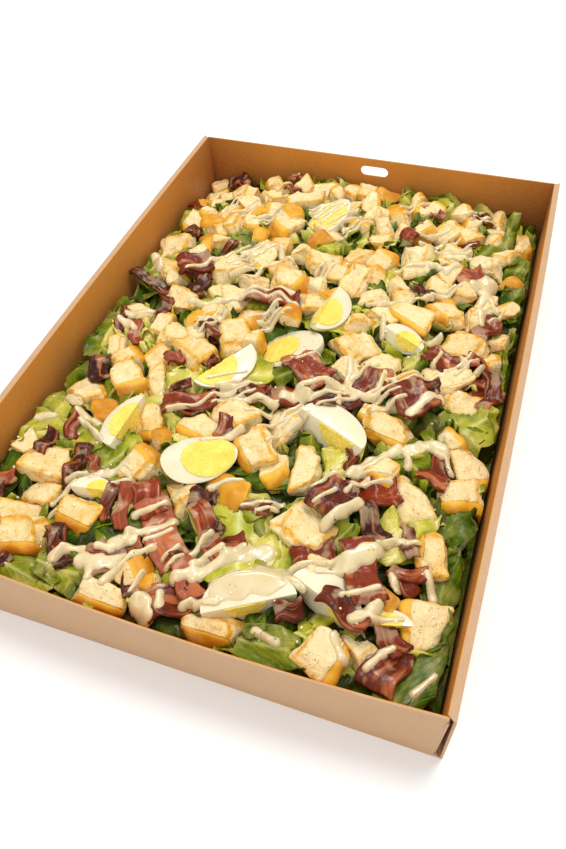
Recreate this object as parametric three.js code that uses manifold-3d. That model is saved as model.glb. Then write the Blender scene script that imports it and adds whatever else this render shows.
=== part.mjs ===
// A caesar salad for a party, in its open folded kraft-board tray.
// Millimetres, +Z up. The origin is on the table under the middle of the tray, +Y points at the
// end wall with the slot, and +X at the right-hand long wall seen from the opposite end.

import * as THREE from 'three';
import { mergeVertices } from 'three/addons/utils/BufferGeometryUtils.js';
import Module from 'manifold-3d';

const wasm = await Module();
wasm.setup();

// ---- driving dimensions -------------------------------------------------------------------

const TRAY_WIDTH = 310;        // outside, at the corners of the rim
const FLOOR_LENGTH = 433;      // outside, at the foot
const TRAY_HEIGHT = 60;
const BOARD = 1.2;             // thickness of the folded board
const RIM = 4.5;               // flat top of the hollow long walls
const WALL_FOOT = 6;           // a hollow long wall is this wide at the floor
const END_WALL_DROP = 1;       // the end walls stop this far below the rim
const FRONT_BOW = 3;           // the front wall's top edge bulges out by this much,
const FRONT_TUCK = 6;          // leans in by this much more half a width away,
const FRONT_PEAK = 0.15;       // and bulges most this far to the right, in half widths
const SIDE_BOW = 2;            // and the long walls' by this much
const SLOT = { width: 24, height: 8.6, x: 3, z: 47.7 };   // hand slot in the back wall
const TAB = { length: 45, low: 5, high: 54, thickness: 0.7 };
const GUSSET = { width: 4, height: 5 };
const RIM_SKEW = 3;            // the rim's end is cut at a slant, this deep

const GAP = 0.4;               // air between pieces that touch
const FRONT_ROOM = 3;          // left free behind the front wall, which leans in
const CROWN = 48;              // height of the toppings in the middle of the tray
const BESIDE_WALLS = 33;       // and along the walls
const TOPPING_DEPTH = 13;      // the lettuce bed lies this far below them
const END_FALL = 0.25;         // share of the mound's height that is lost at the end walls
const SAGS = [                 // and the hollows in the back corners
  { side: -1, depth: 16, spread: 70 }, { side: 1, depth: 10, spread: 55 },
];
const BED_LUMPS = { height: 1.6, across: 8.5, along: 10.5, slanting: 15 };
const BED_CELL = 18;           // spacing of the bed's grid
const PRESS_REACH = 1.15 * BED_CELL;       // the bed gives way this far round a topping
const CUSHION = { rise: 7, spread: 15 };   // lettuce that props up each slice of bacon
const CONTENTS_TOP = 55;       // nothing reaches higher than this
const LEAF_THICKNESS = 1.5;
const BACON_THICKNESS = 2.6;
const EGG = { length: 52, width: 38, blunt: 0.13 };
const CROUTON_NODES = 31;      // the largest croutons are pieces of their own
const CROUTON_TILT = 14;       // degrees, at most, either way
const BEDDED = 3;              // the small ones are sunk this deep in the lettuce
const UNEVEN = 0.1;            // of a crouton's size, over its corners

const TRAY_LENGTH = FLOOR_LENGTH + FRONT_BOW;
const FOOT_Y = FRONT_BOW - TRAY_LENGTH / 2; // outer face of the front wall at the floor
const BACK_Y = FOOT_Y + FLOOR_LENGTH;       // outer face of the back wall
const MIDDLE_Y = (FOOT_Y + BACK_Y) / 2;     // middle of the floor
const HALF_WIDTH = TRAY_WIDTH / 2;
const SEGMENTS = { along: 6, across: 8 };  // of the long walls and the front wall
const WHOLE_HALF = 180;                    // the angle of an egg piece that is half an egg

// The inside that the salad may use.
const INSIDE = {
  x: HALF_WIDTH - WALL_FOOT - GAP,
  low: FOOT_Y + BOARD + FRONT_ROOM,
  high: BACK_Y - BOARD - GAP,
  floor: BOARD + GAP,
};

// ---- where things lie -----------------------------------------------------------------------
// Places are millimetres from the middle of the floor, angles are degrees, turned to the left
// from +X. A crouton: x, y, length, width, height, yaw, and the side that keeps its crust.

const CROUTONS = [
  [-34, 193, 26, 22, 18, 10, 'north'], [-13, 199, 22, 18, 19, 80, 'east'],
  [-45, 172, 30, 24, 18, 20, 'none'], [-78, 178, 26, 18, 17, -60, 'none'],
  [-93, 163, 25, 20, 18, -40, 'none'], [-106, 150, 24, 20, 18, 60, 'south'],
  [-66, 155, 20, 16, 14, 0, 'west'], [-116, 130, 26, 20, 18, 70, 'top'],
  [-131, 128, 30, 24, 20, 80, 'west'], [-131, 91, 34, 28, 20, 15, 'none'],
  [-50, 130, 33, 26, 20, 70, 'west'], [-54, 88, 30, 22, 16, 80, 'west'],
  [-5, 97, 30, 24, 18, 15, 'none'], [-7, 168, 26, 14, 20, 80, 'none'],
  [-103, 76, 30, 18, 16, -60, 'none'], [-22, 68, 36, 27, 20, -10, 'east'],
  [-73, 69, 30, 24, 18, -50, 'none'], [-57, 44, 24, 20, 16, 35, 'east'],
  [17, 200, 24, 22, 20, 0, 'top'], [36, 172, 26, 24, 20, -80, 'top'],
  [14, 167, 24, 12, 18, 80, 'none'], [62, 188, 24, 18, 18, 75, 'east'],
  [78, 160, 26, 20, 18, 60, 'none'], [64, 122, 28, 24, 18, 0, 'none'],
  [87, 132, 30, 16, 20, 70, 'east'], [43, 108, 28, 22, 20, 60, 'east'],
  [30, 134, 18, 16, 14, 0, 'south'], [17, 108, 24, 18, 16, 60, 'none'],
  [25, 78, 28, 22, 18, 80, 'none'], [86, 91, 24, 24, 18, 15, 'south'],
  [113, 130, 24, 22, 20, 10, 'none'], [138, 164, 24, 15, 20, 80, 'south'],
  [121, 86, 28, 14, 16, 80, 'west'], [95, 66, 28, 27, 18, 40, 'west'],
  [74, 47, 34, 21, 17, -20, 'south'], [115, 42, 33, 22, 18, -20, 'none'],
  [27, 12, 27, 24, 18, -30, 'none'], [47, 18, 24, 22, 16, 30, 'none'],
  [66, 2, 26, 22, 17, 80, 'none'], [110, 6, 28, 20, 17, 35, 'none'],
  [121, -10, 24, 20, 16, 0, 'none'], [70, -38, 20, 18, 16, 0, 'south'],
  [82, -50, 34, 22, 18, -10, 'south'], [135, -58, 27, 22, 20, -60, 'east'],
  [135, -82, 25, 22, 18, 20, 'south'], [107, -92, 34, 18, 16, -60, 'none'],
  [127, -127, 31, 21, 21, -80, 'south'], [130, -165, 25, 23, 19, 10, 'west'],
  [19, -62, 30, 20, 17, 60, 'east'], [6, -91, 28, 26, 18, 40, 'west'],
  [25, -97, 28, 16, 18, -60, 'east'], [43, -92, 32, 18, 17, -80, 'none'],
  [3, -120, 28, 20, 18, 0, 'top'], [55, -132, 34, 28, 20, -30, 'none'],
  [25, -201, 32, 19, 19, 0, 'south'], [84, -199, 27, 23, 19, -20, 'top'],
  [100, -186, 32, 15, 18, -35, 'none'], [-96, 30, 33, 22, 17, -25, 'none'],
  [-38, 24, 27, 22, 17, -5, 'east'], [-45, -1, 34, 22, 18, -60, 'none'],
  [-128, 12, 30, 18, 16, -35, 'west'], [-99, 3, 20, 18, 17, 80, 'east'],
  [-84, -8, 28, 20, 18, 0, 'none'], [-63, -22, 34, 26, 20, -30, 'none'],
  [-84, -32, 30, 16, 16, -40, 'west'], [-108, -36, 24, 22, 18, 60, 'east'],
  [-96, -56, 32, 20, 18, -40, 'east'], [-78, -52, 28, 14, 17, -55, 'none'],
  [-123, -68, 34, 24, 18, -40, 'north'], [-13, -67, 30, 26, 19, -30, 'none'],
  [-98, -87, 26, 18, 16, -50, 'top'], [-66, -86, 26, 20, 18, -70, 'east'],
  [-32, -83, 28, 18, 16, -15, 'south'], [-53, -118, 30, 24, 21, 70, 'east'],
  [-22, -128, 30, 16, 17, -60, 'west'], [-114, -131, 34, 25, 19, 10, 'none'],
  [-108, -152, 30, 18, 17, -5, 'none'], [-78, -160, 27, 23, 20, -5, 'south'],
  [-115, -170, 24, 18, 16, 10, 'none'], [-99, -184, 32, 26, 20, 20, 'south'],
  [-39, -203, 31, 15, 18, 0, 'top'],
];

// A boiled egg's piece: x, y, yaw of its long axis, how far its cut face leans and towards
// which angle, the wedge's angle (180 is a half), and its size against a whole egg.
const EGGS = [
  [-18, 152, 66, 18, 190, 180, 0.86], [-1, 3, 4, 24, 172, 180, 1], [-36, -31, 240, 15, 330, 112, 0.94],
  [14, 35, 265, 22, 355, 112, 0.86], [74, 27, -20, 10, 20, 110, 0.6], [90, -33, 10, 10, 270, 100, 0.5],
  [50, -64, -24, 8, 66, 106, 0.96], [-76, -94, 87, 12, 180, 90, 0.82],
  [-20, -107, 26, 12, 110, 150, 0.9], [-72, -147, 10, 8, 90, 100, 0.5], [43, -186, 30, 3, 300, 98, 0.98],
  [80, -172, -22, 6, 68, 98, 0.84], [108, -174, 15, 8, 90, 70, 0.5],
];

// A slice of bacon: x, y, yaw, length, width, height of its waves, number of its waves.
const BACON = [
  [-92, 64, 35, 26, 22, 1.6, 1], [-28, 44, 10, 38, 14, 2.4, 2], [23, -24, -30, 28, 22, 1.2, 1],
  [60, -17, 20, 36, 24, 4.5, 0.5], [96, -20, -40, 28, 24, 1.4, 1], [84, -98, 30, 36, 20, 1.8, 2],
  [66, -112, 70, 26, 22, 1.8, 1], [92, -152, -62, 38, 18, 2, 1.5], [118, -193, 75, 27, 20, 1.6, 1],
  [137, -2, 70, 24, 18, 2, 1], [-22, -158, -45, 50, 20, 2.4, 2], [-40, -182, 30, 32, 20, 2, 1],
  [103, 19, -10, 26, 16, 2, 1], [0, -194, 40, 26, 20, 2.2, 1],
];
// Smaller slices, bedded among the leaves.
const BACON_BITS = [
  [-130, 44, -18, 44, 9, 2, 2], [-85, 44, -75, 26, 10, 2, 1], [-45, -66, 25, 34, 13, 2, 1],
  [8, -46, 15, 30, 14, 2, 2], [45, -40, 25, 34, 12, 2, 1], [90, -118, -50, 28, 12, 3, 1],
  [66, -148, 30, 24, 14, 2, 1], [-52, -140, -65, 44, 9, 2, 2], [-74, -184, -50, 28, 11, 3, 1],
  [-92, -132, -80, 32, 10, 3, 2], [6, -150, -60, 32, 12, 2, 1], [126, 58, 70, 26, 14, 2, 1],
  [106, 107, 30, 22, 20, 2, 1], [56, 146, 60, 24, 14, 3, 1], [-122, -52, -60, 22, 14, 3, 1],
];

// A romaine leaf: x, y of the middle, length, width, yaw, rise of its tip, its curl.
const LEAVES = [
  [-84, 106, 44, 32, -60, 10, 8], [-126, 142, 36, 22, 60, 8, 6], [116, 160, 62, 34, 70, 26, 9],
  [30, 146, 40, 16, -70, 6, 4], [54, 80, 46, 22, -12, 6, 5], [140, 98, 40, 18, 80, 12, 6],
  [134, 126, 36, 22, 60, 12, 6], [70, 96, 30, 20, 75, 8, 7], [-140, 56, 44, 14, -50, 14, 5],
  [-116, 62, 40, 26, 45, 8, 6], [-134, -18, 44, 26, -80, 12, 6], [-112, -14, 40, 22, -35, 6, 5],
  [-60, -56, 44, 28, 70, 8, 8], [-68, 2, 40, 20, 35, 6, 6], [-74, 26, 30, 20, 0, 6, 6],
  [38, 64, 34, 22, 75, 10, 10], [36, 38, 40, 24, 20, 6, 6], [139, 34, 52, 18, 85, 16, 5],
  [86, 12, 26, 14, 60, 8, 4], [128, -34, 44, 34, 50, 14, 9], [122, -46, 28, 16, -60, 8, 8],
  [-134, -88, 46, 24, 60, 12, 6], [-138, -108, 40, 20, 70, 12, 6], [-126, -112, 48, 30, 0, 10, 8],
  [-136, -142, 44, 22, 75, 12, 6], [-48, -90, 34, 24, -20, 8, 7], [-74, -124, 44, 26, 60, 8, 6],
  [-56, -164, 42, 26, -60, 8, 7], [-60, -196, 38, 20, 0, 8, 6], [-14, -184, 34, 24, 70, 8, 6],
  [-88, -204, 42, 18, -10, 6, 5], [60, -84, 34, 20, 70, 8, 5], [138, -104, 42, 24, 85, 14, 8],
  [140, -138, 40, 18, 85, 12, 8], [108, -116, 40, 24, 60, 8, 6], [75, -134, 24, 16, 60, 8, 5],
  [22, -150, 50, 40, -70, 12, 8], [48, -158, 34, 20, -80, 8, 6], [60, -202, 48, 18, 5, 6, 5],
  [136, -188, 48, 24, 80, 14, 8], [-14, 118, 36, 20, -40, 6, 6], [-142, 4, 34, 16, 85, 12, 5],
  [-96, 118, 34, 20, 20, 8, 6], [8, 150, 30, 18, 60, 6, 5], [-20, -34, 34, 20, 20, 6, 6],
  [14, -130, 30, 18, 10, 6, 6], [100, -70, 36, 22, -30, 8, 6], [-100, -120, 30, 20, 40, 8, 6],
];

// ---- finishes -------------------------------------------------------------------------------

function finish(colour, roughness) {
  return new THREE.MeshStandardMaterial({ color: colour, roughness, metalness: 0 });
}
const KRAFT = finish(0xc6a07d, 0.85);
const ROMAINE = finish(0x86ab3a, 0.5);
const BREAD = finish(0xf0d49a, 0.8);
const EGG_WHITE = finish(0xfaf8e6, 0.35);
const CURED_MEAT = finish(0x8e3c2c, 0.45);

// ---- helpers --------------------------------------------------------------------------------

const radians = THREE.MathUtils.degToRad;

// A small seeded generator, so every build draws the same shapes.
function seeded(seed) {
  let state = seed;
  return () => {
    state = (state + 0x6d2b79f5) | 0;
    let t = Math.imul(state ^ (state >>> 15), 1 | state);
    t = (t + Math.imul(t ^ (t >>> 7), 61 | t)) ^ t;
    return ((t ^ (t >>> 14)) >>> 0) / 4294967296;
  };
}

// Keeps only positions and merges the shared corners, which closes a three.js shape.
function welded(geometry) {
  const bare = geometry.clone();
  bare.deleteAttribute('normal');
  bare.deleteAttribute('uv');
  return mergeVertices(bare, 1e-3);
}

function toSolid(geometry, matrix = new THREE.Matrix4()) {
  const closed = welded(geometry).applyMatrix4(matrix);
  return new wasm.Manifold(new wasm.Mesh({
    numProp: 3,
    vertProperties: new Float32Array(closed.attributes.position.array),
    triVerts: new Uint32Array(closed.index.array),
  }));
}

function toGeometry(solid) {
  const mesh = solid.getMesh();
  const geometry = new THREE.BufferGeometry();
  geometry.setAttribute('position', new THREE.BufferAttribute(mesh.vertProperties, 3));
  geometry.setIndex(new THREE.BufferAttribute(mesh.triVerts, 1));
  return geometry;
}

function joined(solids) {
  return solids.reduce((whole, solid) => whole.add(solid));
}

// The largest body of a solid: loose scraps and the skins of sealed hollows are left behind.
function largestBody(solid) {
  return solid.decompose().reduce((best, body) => (body.volume() > best.volume() ? body : best));
}

function moveCorners(geometry, move) {
  const positions = geometry.attributes.position;
  const point = new THREE.Vector3();
  for (let i = 0; i < positions.count; i += 1) {
    point.fromBufferAttribute(positions, i);
    move(point);
    positions.setXYZ(i, point.x, point.y, point.z);
  }
  return geometry;
}

// A thin closed sheet round the middle surface `place(u, v)`, with u and v from 0 to 1.
function sheet(steps, thickness, place) {
  const { along, across } = steps;
  const corners = [];
  const faces = [];
  const reach = 0.02;
  const at = (side, i, j) => (side * (along + 1) + i) * (across + 1) + j;
  for (const side of [0, 1]) {
    for (let i = 0; i <= along; i += 1) {
      for (let j = 0; j <= across; j += 1) {
        const u = i / along;
        const v = j / across;
        const du = place(u + reach, v).sub(place(u - reach, v));
        const dv = place(u, v + reach).sub(place(u, v - reach));
        const normal = du.cross(dv).normalize();
        const point = place(u, v).addScaledVector(normal, (side - 0.5) * thickness);
        corners.push(point.x, point.y, point.z);
      }
    }
  }
  const quad = (a, b, c, d) => faces.push(a, b, c, a, c, d);
  for (let i = 0; i < along; i += 1) {
    for (let j = 0; j < across; j += 1) {
      quad(at(1, i, j), at(1, i + 1, j), at(1, i + 1, j + 1), at(1, i, j + 1));
      quad(at(0, i, j), at(0, i, j + 1), at(0, i + 1, j + 1), at(0, i + 1, j));
    }
    quad(at(0, i, 0), at(0, i + 1, 0), at(1, i + 1, 0), at(1, i, 0));
    quad(at(0, i + 1, across), at(0, i, across), at(1, i, across), at(1, i + 1, across));
  }
  for (let j = 0; j < across; j += 1) {
    quad(at(0, 0, j + 1), at(0, 0, j), at(1, 0, j), at(1, 0, j + 1));
    quad(at(0, along, j), at(0, along, j + 1), at(1, along, j + 1), at(1, along, j));
  }
  const geometry = new THREE.BufferGeometry();
  geometry.setAttribute('position', new THREE.Float32BufferAttribute(corners, 3));
  geometry.setIndex(faces);
  return geometry;
}

// ---- the tray -------------------------------------------------------------------------------

// A long wall leans out between its ends, most at the rim.
function bowSide(point) {
  const along = (point.y - MIDDLE_Y) / (FLOOR_LENGTH / 2);
  const lean = SIDE_BOW * (1 - along * along) * (point.z / TRAY_HEIGHT);
  point.x += Math.sign(point.x) * lean;
}

// The front wall's top edge bulges out near the middle and leans in towards its ends.
function bowFront(point) {
  const across = point.x / HALF_WIDTH;
  const lean = FRONT_TUCK * (across - FRONT_PEAK) ** 2 - FRONT_BOW;
  point.y += lean * (point.z / TRAY_HEIGHT);
}

function outline(points) {
  return new THREE.Shape(points.map(([x, y]) => new THREE.Vector2(x, y)));
}

// One hollow long wall: outer panel, flat rim and slanted inner panel, folded from one strip.
function longWall() {
  const out = HALF_WIDTH;
  const section = outline([
    [out, 0], [out, TRAY_HEIGHT], [out - RIM, TRAY_HEIGHT], [out - WALL_FOOT, BOARD / 2],
    [out - WALL_FOOT + BOARD, BOARD / 2], [out - RIM + BOARD, TRAY_HEIGHT - BOARD],
    [out - BOARD, TRAY_HEIGHT - BOARD], [out - BOARD, 0],
  ]);
  const wall = new THREE.ExtrudeGeometry(section, {
    depth: FLOOR_LENGTH, steps: SEGMENTS.along, bevelEnabled: false,
  });
  const end = FLOOR_LENGTH / 2;
  wall.rotateX(Math.PI / 2).translate(0, end, 0);
  // Both ends are cut at a slant, so that the inner panel stops short of the outer one.
  return moveCorners(wall, (point) => {
    const atEnd = Math.abs(point.y) > end - BOARD;
    const slant = Math.min(1, (out - point.x) / RIM) * RIM_SKEW * (point.z / TRAY_HEIGHT);
    if (atEnd) point.y -= Math.sign(point.y) * slant;
    point.y += MIDDLE_Y;
    if (!atEnd) bowSide(point);
  });
}

// An end wall, standing in the plane of x and z, as wide as the inner panels leave room for.
function endWallOutline() {
  const top = TRAY_HEIGHT - END_WALL_DROP;
  const foot = HALF_WIDTH - WALL_FOOT + BOARD;
  const head = HALF_WIDTH - RIM + BOARD;
  return { top, foot, head };
}

function frontWall() {
  const { top, foot, head } = endWallOutline();
  const wall = new THREE.BoxGeometry(2, BOARD, top, SEGMENTS.across, 1, 2);
  wall.translate(0, FOOT_Y + BOARD / 2, top / 2);
  moveCorners(wall, (point) => {
    point.x *= foot + (head - foot) * (point.z / top);
  });
  return moveCorners(wall, bowFront);
}

function backWall() {
  const { top, foot, head } = endWallOutline();
  const wall = outline([[-foot, 0], [foot, 0], [head, top], [-head, top]]);
  const radius = SLOT.height / 2;
  const reach = SLOT.width / 2 - radius;
  const slot = new THREE.Path();
  slot.absarc(SLOT.x - reach, SLOT.z, radius, Math.PI / 2, (3 * Math.PI) / 2, false);
  slot.absarc(SLOT.x + reach, SLOT.z, radius, -Math.PI / 2, Math.PI / 2, false);
  slot.closePath();
  wall.holes.push(slot);
  const geometry = new THREE.ExtrudeGeometry(wall, {
    depth: BOARD, bevelEnabled: false, curveSegments: 6,
  });
  return geometry.rotateX(Math.PI / 2).translate(0, BACK_Y, 0);
}

// A tab of an end wall, folded back inside a hollow long wall, against its inner panel.
function endTab(end) {
  const lean = (z) => HALF_WIDTH - WALL_FOOT + (WALL_FOOT - RIM) * (z / TRAY_HEIGHT) + BOARD;
  const section = outline([
    [lean(TAB.low) - BOARD / 2, TAB.low], [lean(TAB.low) + TAB.thickness, TAB.low],
    [lean(TAB.high) + TAB.thickness, TAB.high], [lean(TAB.high) - BOARD / 2, TAB.high],
  ]);
  const tab = new THREE.ExtrudeGeometry(section, { depth: TAB.length, bevelEnabled: false });
  tab.rotateX(Math.PI / 2);
  return tab.translate(0, end < 0 ? FOOT_Y + TAB.length + BOARD / 2 : BACK_Y - BOARD / 2, 0);
}

// The small web left standing at the foot of each open wall end.
function gusset(end) {
  const start = HALF_WIDTH - WALL_FOOT + BOARD / 2;
  const web = outline([[start, 0], [start + GUSSET.width, 0], [start + BOARD, GUSSET.height]]);
  const geometry = new THREE.ExtrudeGeometry(web, { depth: BOARD, bevelEnabled: false });
  return geometry.rotateX(Math.PI / 2).translate(0, end < 0 ? FOOT_Y + BOARD : BACK_Y, 0);
}

function traySolid() {
  const floor = new THREE.BoxGeometry(TRAY_WIDTH, FLOOR_LENGTH, BOARD);
  floor.translate(0, MIDDLE_Y, BOARD / 2);
  const rightHand = [longWall(), endTab(-1), endTab(1), gusset(-1), gusset(1)].map((g) => toSolid(g));
  const leftHand = rightHand.map((solid) => solid.mirror([1, 0, 0]));
  return joined([toSolid(floor), toSolid(frontWall()), toSolid(backWall()), ...rightHand, ...leftHand]);
}

// ---- the lettuce bed ------------------------------------------------------------------------

// Height of the toppings: a low mound that falls towards the walls and sags in the back corners.
function toppingHeight(x, y) {
  const across = x / HALF_WIDTH;
  const along = (y - MIDDLE_Y) / (FLOOR_LENGTH / 2);
  const mound = (1 - across ** 4) * (1 - END_FALL * along ** 8);
  const sags = SAGS.map(({ side, depth, spread }) => {
    const distance = Math.hypot(x - side * HALF_WIDTH, y - BACK_Y);
    return depth * Math.exp(-((distance / spread) ** 2));
  });
  return BESIDE_WALLS + (CROWN - BESIDE_WALLS) * mound - sags.reduce((sum, sag) => sum + sag);
}

// The bed follows it, with lumps, and is propped up under the bacon.
function bedHeight(x, y) {
  const { height, across, along, slanting } = BED_LUMPS;
  const lumps = Math.sin(x / across + 1.3) * Math.cos(y / along) + 0.6 * Math.sin((x + y) / slanting);
  const cushions = BACON.map(([bx, by]) => {
    const distance = Math.hypot(x - bx, y - by - MIDDLE_Y);
    return CUSHION.rise * Math.exp(-((distance / CUSHION.spread) ** 2));
  });
  return toppingHeight(x, y) - TOPPING_DEPTH + height * lumps + Math.max(...cushions);
}

// The bed gives way under the toppings: near each of them it stays below that piece's lowest point.
function pressedHeight(x, y, pieces) {
  let height = bedHeight(x, y);
  for (const { box } of pieces) {
    const near = x > box.min.x - PRESS_REACH && x < box.max.x + PRESS_REACH
      && y > box.min.y - PRESS_REACH && y < box.max.y + PRESS_REACH;
    if (near) height = Math.min(height, box.min.z - GAP);
  }
  return height;
}

function bedSolid(pieces) {
  const columns = Math.round((2 * INSIDE.x) / BED_CELL);
  const rows = Math.round((INSIDE.high - INSIDE.low) / BED_CELL);
  const corners = [];
  const faces = [];
  const top = (i, j) => j * (columns + 1) + i;
  for (let j = 0; j <= rows; j += 1) {
    for (let i = 0; i <= columns; i += 1) {
      const x = -INSIDE.x + (2 * INSIDE.x * i) / columns;
      const y = INSIDE.low + ((INSIDE.high - INSIDE.low) * j) / rows;
      corners.push(x, y, pressedHeight(x, y, pieces));
    }
  }
  for (let j = 0; j < rows; j += 1) {
    for (let i = 0; i < columns; i += 1) {
      faces.push(top(i, j), top(i + 1, j), top(i + 1, j + 1));
      faces.push(top(i, j), top(i + 1, j + 1), top(i, j + 1));
    }
  }
  // The border, walked to the left, then its copy on the floor and a fan under the bed.
  const border = [];
  for (let i = 0; i < columns; i += 1) border.push(top(i, 0));
  for (let j = 0; j < rows; j += 1) border.push(top(columns, j));
  for (let i = columns; i > 0; i -= 1) border.push(top(i, rows));
  for (let j = rows; j > 0; j -= 1) border.push(top(0, j));
  const foot = corners.length / 3;
  for (const index of border) {
    corners.push(corners[3 * index], corners[3 * index + 1], INSIDE.floor);
  }
  const centre = corners.length / 3;
  corners.push(0, MIDDLE_Y, INSIDE.floor);
  border.forEach((index, k) => {
    const next = (k + 1) % border.length;
    faces.push(index, foot + k, border[next], border[next], foot + k, foot + next);
    faces.push(foot + k, centre, foot + next);
  });
  const geometry = new THREE.BufferGeometry();
  geometry.setAttribute('position', new THREE.Float32BufferAttribute(corners, 3));
  geometry.setIndex(faces);
  return toSolid(geometry);
}

// ---- toppings, each made lying flat round its own middle --------------------------------------

const SIDES = {
  east: [1, 0, 0], west: [-1, 0, 0], north: [0, 1, 0], south: [0, -1, 0], top: [0, 0, 1],
  none: [0, 0, 0],
};

// How far the middle of a face, an edge and a corner of a crouton are worn in.
const WEAR = { face: 1, edge: 0.9, corner: 0.8, crustRim: 0.92 };

// A torn cube of bread: corners worn round, faces uneven, the crusted side domed.
function croutonShape(length, width, height, crust, random, layers) {
  const cube = welded(new THREE.BoxGeometry(1, 1, 1, 2, 2, layers));
  const side = new THREE.Vector3(...SIDES[crust]);
  const wear = [WEAR.face, WEAR.face, WEAR.edge, WEAR.corner];
  const half = 0.5;
  return moveCorners(cube, (point) => {
    const ends = [point.x, point.y, point.z].filter((value) => Math.abs(value) === half).length;
    const onCrust = side.dot(point) === half;
    if (onCrust && ends > 1) point.multiplyScalar(WEAR.crustRim);
    point.multiplyScalar(wear[ends]);
    point.x *= length * (1 + UNEVEN * (random() - half));
    point.y *= width * (1 + UNEVEN * (random() - half));
    point.z *= height * (1 + UNEVEN * (random() - half));
  });
}

// A boiled egg's piece lies with its cut face up, and its blunt end towards -X.
function eggSolid(sector) {
  const egg = new THREE.SphereGeometry(0.5, 12, 8).rotateZ(Math.PI / 2);
  moveCorners(egg, (point) => {
    const girth = EGG.width * (1 - EGG.blunt * 2 * point.x);
    point.set(point.x * EGG.length, point.y * girth, point.z * girth);
  });
  const below = new THREE.BoxGeometry(2 * EGG.length, 2 * EGG.length, EGG.length);
  below.translate(0, 0, -EGG.length / 2);
  const half = toSolid(egg).intersect(toSolid(below));
  if (sector === WHOLE_HALF) return half;
  // A wedge keeps the flesh on one side of a second cut through the long axis.
  const turn = new THREE.Matrix4().makeRotationX(radians(WHOLE_HALF - sector));
  return half.intersect(toSolid(below, turn));
}

// A slice of bacon is wavy along its length, drifts to the side and is warped a little.
const BACON_SHAPE = { drift: 1.5, driftTurn: 7, warp: 0.8 };

function baconShape(steps, [length, width, wave, waves], room = 0) {
  const { drift, driftTurn, warp } = BACON_SHAPE;
  return sheet(steps, BACON_THICKNESS + 2 * room, (u, v) => new THREE.Vector3(
    (length + 2 * room) * (u - 0.5),
    (width + 2 * room) * (v - 0.5) + drift * Math.sin(u * driftTurn),
    wave * Math.sin(2 * Math.PI * waves * u) + warp * Math.sin(5 * v + 4 * u),
  ));
}

// A leaf is narrow at its foot, widest past the middle, cupped towards its tip and ruffled.
const LEAF_SHAPE = { foot: 0.3, swell: 0.7, ruffle: 1.4, ruffleTurn: 9, pivot: 0.35 };

function leafShape(length, width, rise, curl) {
  const { foot, swell, ruffle, ruffleTurn, pivot } = LEAF_SHAPE;
  return sheet({ along: 3, across: 2 }, LEAF_THICKNESS, (u, v) => {
    const side = 2 * v - 1;
    const girth = foot + swell * Math.sin(Math.PI * (0.8 * u + 0.1));
    const cup = curl * side ** 2 * (foot + swell * u);
    const wave = ruffle * Math.sin(ruffleTurn * u + 3) * side;
    const reach = 0.5 * width * girth;
    return new THREE.Vector3(length * (u - 0.5), reach * side, rise * (u - pivot) + cup + wave);
  });
}

// ---- laying the toppings down -----------------------------------------------------------------

const NUDGE = { step: 2, reach: 14, directions: 12 };   // how far a topping may be moved aside
const BED_NUDGE = { step: 3, reach: 6, directions: 8 }; // and a piece that is bedded in lettuce
const SHRUNK = [1, 0.86, 0.74, 0.62];                   // or made this much smaller
const LIFTS = { egg: [0, 2], crouton: [0, 3], bacon: [-BACON_THICKNESS, 0, 3, 6] };
const TOUCHING = 1e-3;      // solids that share less than this many mm³ don't cross
const laid = [];            // each piece in place, with its solid, the room round it and its box

function boxesMeet(a, b) {
  return ['x', 'y', 'z'].every((k) => a.min[k] < b.max[k] && b.min[k] < a.max[k]);
}

// Whether a solid comes into the room of something that lies in place already.
function crossesRoom(solid, box) {
  return laid.some((other) => boxesMeet(box, other.box)
    && solid.intersect(other.room).volume() > TOUCHING);
}

function boxOf(mesh) {
  mesh.updateMatrixWorld();
  return new THREE.Box3().setFromObject(mesh, true);
}

function withinTray(box) {
  return box.min.x > -INSIDE.x && box.max.x < INSIDE.x && box.max.z < CONTENTS_TOP
    && box.min.y > INSIDE.low && box.max.y < INSIDE.high && box.min.z > INSIDE.floor + 1;
}

// A shape grown outwards by the gap, about its own middle.
function roomRound(geometry) {
  geometry.computeBoundingBox();
  const size = geometry.boundingBox.getSize(new THREE.Vector3());
  const middle = geometry.boundingBox.getCenter(new THREE.Vector3());
  const grown = (k) => (size[k] + 2 * GAP) / size[k];
  return geometry.clone().translate(-middle.x, -middle.y, -middle.z)
    .scale(grown('x'), grown('y'), grown('z')).translate(middle.x, middle.y, middle.z);
}

// The spots round a piece's place, nearest first.
function nudges({ step, reach, directions }) {
  const spots = [new THREE.Vector2()];
  for (let distance = step; distance <= reach; distance += step) {
    for (let turn = 0; turn < directions; turn += 1) {
      const angle = (2 * Math.PI * turn) / directions;
      spots.push(new THREE.Vector2(Math.cos(angle), Math.sin(angle)).multiplyScalar(distance));
    }
  }
  return spots;
}

// Moves a piece so that its highest point is at `top(x, y)`.
function hang(mesh, x, y, top) {
  mesh.position.set(x, y, 0);
  mesh.position.z = top(x, y) - boxOf(mesh).max.z;
  return boxOf(mesh);
}

// Lays a piece with its top at the toppings' height, on the free spot nearest to its place, and
// higher up where there is none, by one of the `lifts`.
function layDown(mesh, room, lifts) {
  const { x, y } = mesh.position;
  for (const spot of nudges(NUDGE)) {
    for (const lift of lifts) {
      const box = hang(mesh, x + spot.x, y + spot.y, (px, py) => toppingHeight(px, py) + lift);
      if (withinTray(box) && !crossesRoom(toSolid(mesh.geometry, mesh.matrixWorld), box)) {
        laid.push({ room: toSolid(room, mesh.matrixWorld), box });
        salad.add(mesh);
        return;
      }
    }
  }
}

// ---- assembly ---------------------------------------------------------------------------------

const salad = new THREE.Group();
const random = seeded(20);

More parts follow.
